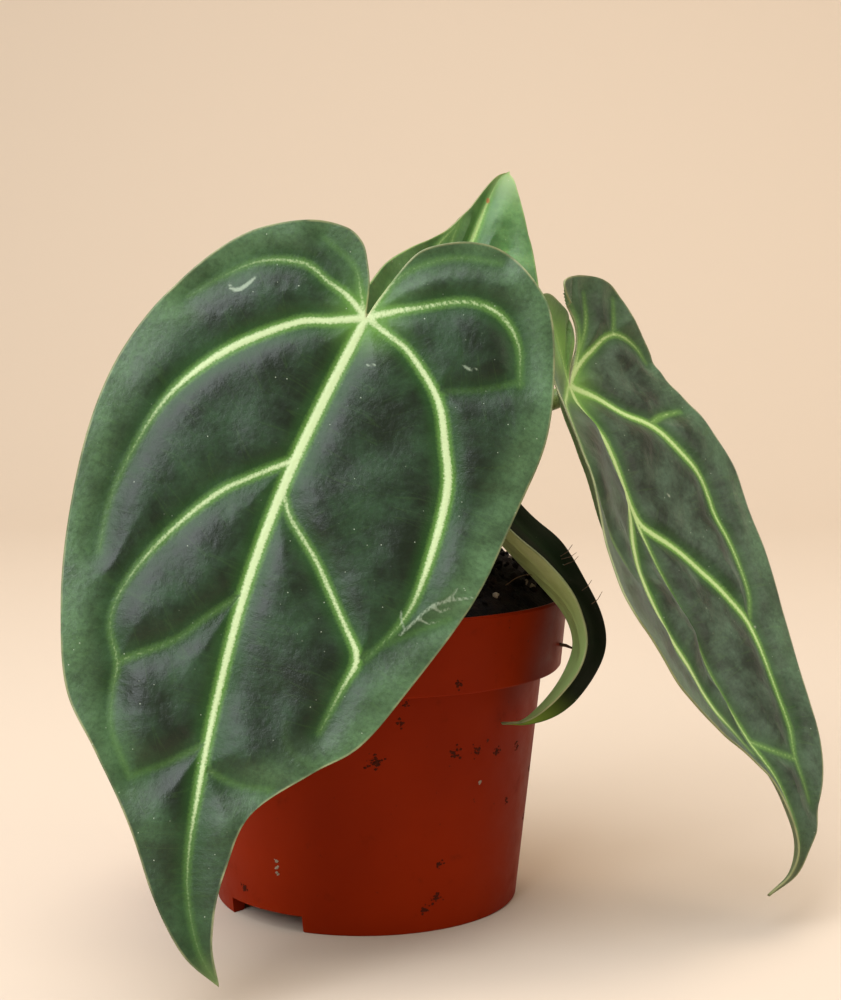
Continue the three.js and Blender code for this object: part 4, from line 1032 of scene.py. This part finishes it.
# The same velvety skin on the right leaf, with fresher veins: greyer panels whose grey clouds are painted
# reflection, dark hollows between them that are painted shade, and painted sheen towards the margin.
right_upper = leaf_skin("right_leaf_upper",
                        ("#0d200a", "#475e48", "#4e6c4a", "#234f13", "#74a444", "#b8d28a",
                         "#a3a374", "#4c5632", "#9aa18c"),
                        relief=0.34, gloss=0.34, tip=(146, 166), Sheen_Weight=0.1, Sheen_Roughness=0.4,
                        Specular_IOR_Level=0.4)
blade(right_leaf, right_upper, mature_lower)
stalk(right_leaf)


# Back leaf. A young blade that points up behind the others, lighter and glossier, with paler
# veins that hardly show a halo yet.
back_leaf = {
    "name": "leaf_back",
    "spine": [
        (-1.5, 19, 122), (5, 30, 135), (20, 56, 165), (33.5, 76, 199.5), (42, 86, 219.2),
        (46.8, 89, 223.6),
    ],
    "facing": (0.55, -0.65, 0.52),
    "fold": {"left": [(0, 20)], "right": [(0, 20)]},
    "curl": {"left": 0, "right": 0},
    "wave": (0.8, 34, 0),
    "ripple": 0.05,
    "bumps": [],
    "relief": 0.4,
    "panel": 1.2,
    "half_width": 36,
    "left": [
        (0, 0), (2, -6), (6, -12), (13, -16), (22, -14), (29, -6), (33, 6), (35.5, 20), (36, 36),
        (34.5, 52), (30, 68), (24, 82), (19, 92), (13, 102), (5.5, 111.5), (0, 115),
    ],
    "right": [
        (0, 0), (2, -6), (7, -13), (14, -17), (23, -15), (29, -6), (32.5, 6), (34, 20), (34, 38),
        (31, 52), (24.5, 64), (17, 73.5), (11, 82), (6.8, 92), (3.4, 103), (0, 115),
    ],
    "apex": {"left": 3, "right": 3},
    "shoulder": 0.2,
    "rows": (26, 130, 56),
    "midrib": [(0, 1.2), (60, 1.1), (92, 0.9), (105, 0.4), (115, 0.15)],
    "veins": [
        ("left", [(0, 0, 0.8), (8, 2, 0.7), (16, 9, 0.6), (22, 20, 0.5), (25, 34, 0.4), (25, 48, 0.2)]),
        ("left", [(0, 0, 0.7), (9, -6, 0.5), (18, -7, 0.4), (26, 2, 0.2)]),
        ("left", [(0, 30, 0.7), (7, 38, 0.6), (14, 50, 0.5), (17, 62, 0.4), (16, 74, 0.2)]),
        ("left", [(0, 58, 0.6), (6, 66, 0.5), (11, 76, 0.4), (12, 86, 0.2)]),
        ("right", [(0, 0, 0.8), (8, 2, 0.7), (16, 9, 0.6), (23, 20, 0.5), (26, 34, 0.4), (26, 48, 0.2)]),
        ("right", [(0, 0, 0.7), (9, -6, 0.5), (19, -8, 0.4), (27, 2, 0.2)]),
        ("right", [(0, 34, 0.8), (7, 42, 0.7), (14, 52, 0.7), (16, 62, 0.6), (13, 74, 0.5), (9, 84, 0.3)]),
        ("right", [(0, 62, 0.6), (5, 70, 0.5), (8, 78, 0.4), (8, 88, 0.2)]),
    ],
    "scars": [[(0, 100.6, 0.5), (0.2, 101.4, 0.5)]],
    "fresh": [(0, 0, 9)],
    "stalk": [(1, 9, 93), (0.5, 15, 110), (0, 30, 124)],
}
# Young skins: thin bright green tissue with a satin cuticle, paler and matt below.
young_upper = leaf_skin("young_leaf_upper",
                        ("#2f5722", "#5a8344", "#5c8446", "#3c6e25", "#74a050", "#a6c67a",
                         "#93ab62", "#7f9a5c", "#b0562a"),
                        relief=0.2, gloss=0.36, tip=(100, 116), Subsurface_Weight=0.08,
                        Subsurface_Scale=0.002)
young_lower = leaf_skin("young_leaf_lower",
                        ("#66803f", "#7b9454", "#7b9454", "#6c8846", "#82a056", "#a3b87a",
                         "#93ab62", "#7f9a5c", "#b0562a"),
                        relief=0.25, gloss=0.5, tip=(100, 116))
blade(back_leaf, young_upper, young_lower)
stalk(back_leaf)


# Small leaf. The smallest blade curls over beside the rim with its two halves folded up, so its
# pale underside and a strip of its upper side, painted near black with shade, both show.
small_leaf = {
    "name": "leaf_small",
    "spine": [
        (14, -20, 133), (22.3, -22, 127.5), (31, -24, 121.5), (41, -27, 109.5), (49.8, -30, 100.5),
        (57.8, -32, 91), (60.8, -34, 82.5), (58.8, -36, 75), (53.4, -37, 66.5), (46, -38, 60),
        (39.2, -38.5, 59.5),
    ],
    "facing": (0.985, -0.17, 0),
    "fold": {"left": [(0, 15)], "right": [(0, 22)]},
    "curl": {"left": 0, "right": 0},
    "wave": (0.4, 30, 0),
    "ripple": 0.03,
    "bumps": [],
    "relief": 0.2,
    "panel": 0.6,
    "half_width": 22,
    "left": [
        (0, 0), (2, -4), (6, -7.5), (11, -7), (14.5, -1), (16, 8), (17, 18), (19, 29), (21, 38),
        (21.5, 45), (19.5, 51), (15.5, 57), (13, 64), (12, 71), (9, 79), (4.5, 86), (0, 92),
    ],
    "right": [
        (0, 0), (2, -4), (6, -8), (11, -7), (15, -1), (19, 8), (22, 18), (24, 26), (24.5, 33),
        (23, 40), (21, 48), (19, 56), (16.5, 64), (13, 72), (9, 80), (4, 87), (0, 92),
    ],
    "apex": {"left": 2, "right": 2},
    "shoulder": 0.14,
    "rows": (18, 120, 44),
    "midrib": [(0, 0.7), (50, 0.5), (80, 0.3), (92, 0.1)],
    "veins": [
        ("left", [(0, 0, 0.4), (6, 6, 0.35), (10, 16, 0.3), (12, 28, 0.2), (12, 42, 0.1)]),
        ("left", [(0, 30, 0.35), (6, 40, 0.3), (9, 50, 0.2), (8, 62, 0.1)]),
        ("right", [(0, 0, 0.4), (6, 6, 0.35), (11, 16, 0.3), (14, 28, 0.2), (13, 42, 0.1)]),
        ("right", [(0, 30, 0.35), (6, 40, 0.3), (10, 50, 0.2), (9, 62, 0.1)]),
    ],
    "scars": [],
    "fresh": [(0, 0, 6)],
    "stalk": [(5.5, -8, 93), (8, -11, 106)],
}
# The upper side of the small leaf, its own dark green darkened further by painted shade, veins and margin
# included, and its matt underside the colour of sage.
small_upper = leaf_skin("small_leaf_upper",
                        ("#071203", "#0b1a06", "#0c1c07", "#0f2409", "#173010", "#2c4119",
                         "#34451e", "#6f8a34", "#46582f"),
                        relief=0.15, gloss=0.55, tip=(74, 90), Specular_IOR_Level=0.05)
small_lower = leaf_skin("small_leaf_lower",
                        ("#98a061", "#b0b784", "#a6ad76", "#97a369", "#a4b374", "#b6c088",
                         "#8c9860", "#8fb06a", "#a0703c"),
                        relief=0.12, gloss=0.6, tip=(30, 70), Specular_IOR_Level=0.3)
blade(small_leaf, small_upper, small_lower)
stalk(small_leaf)
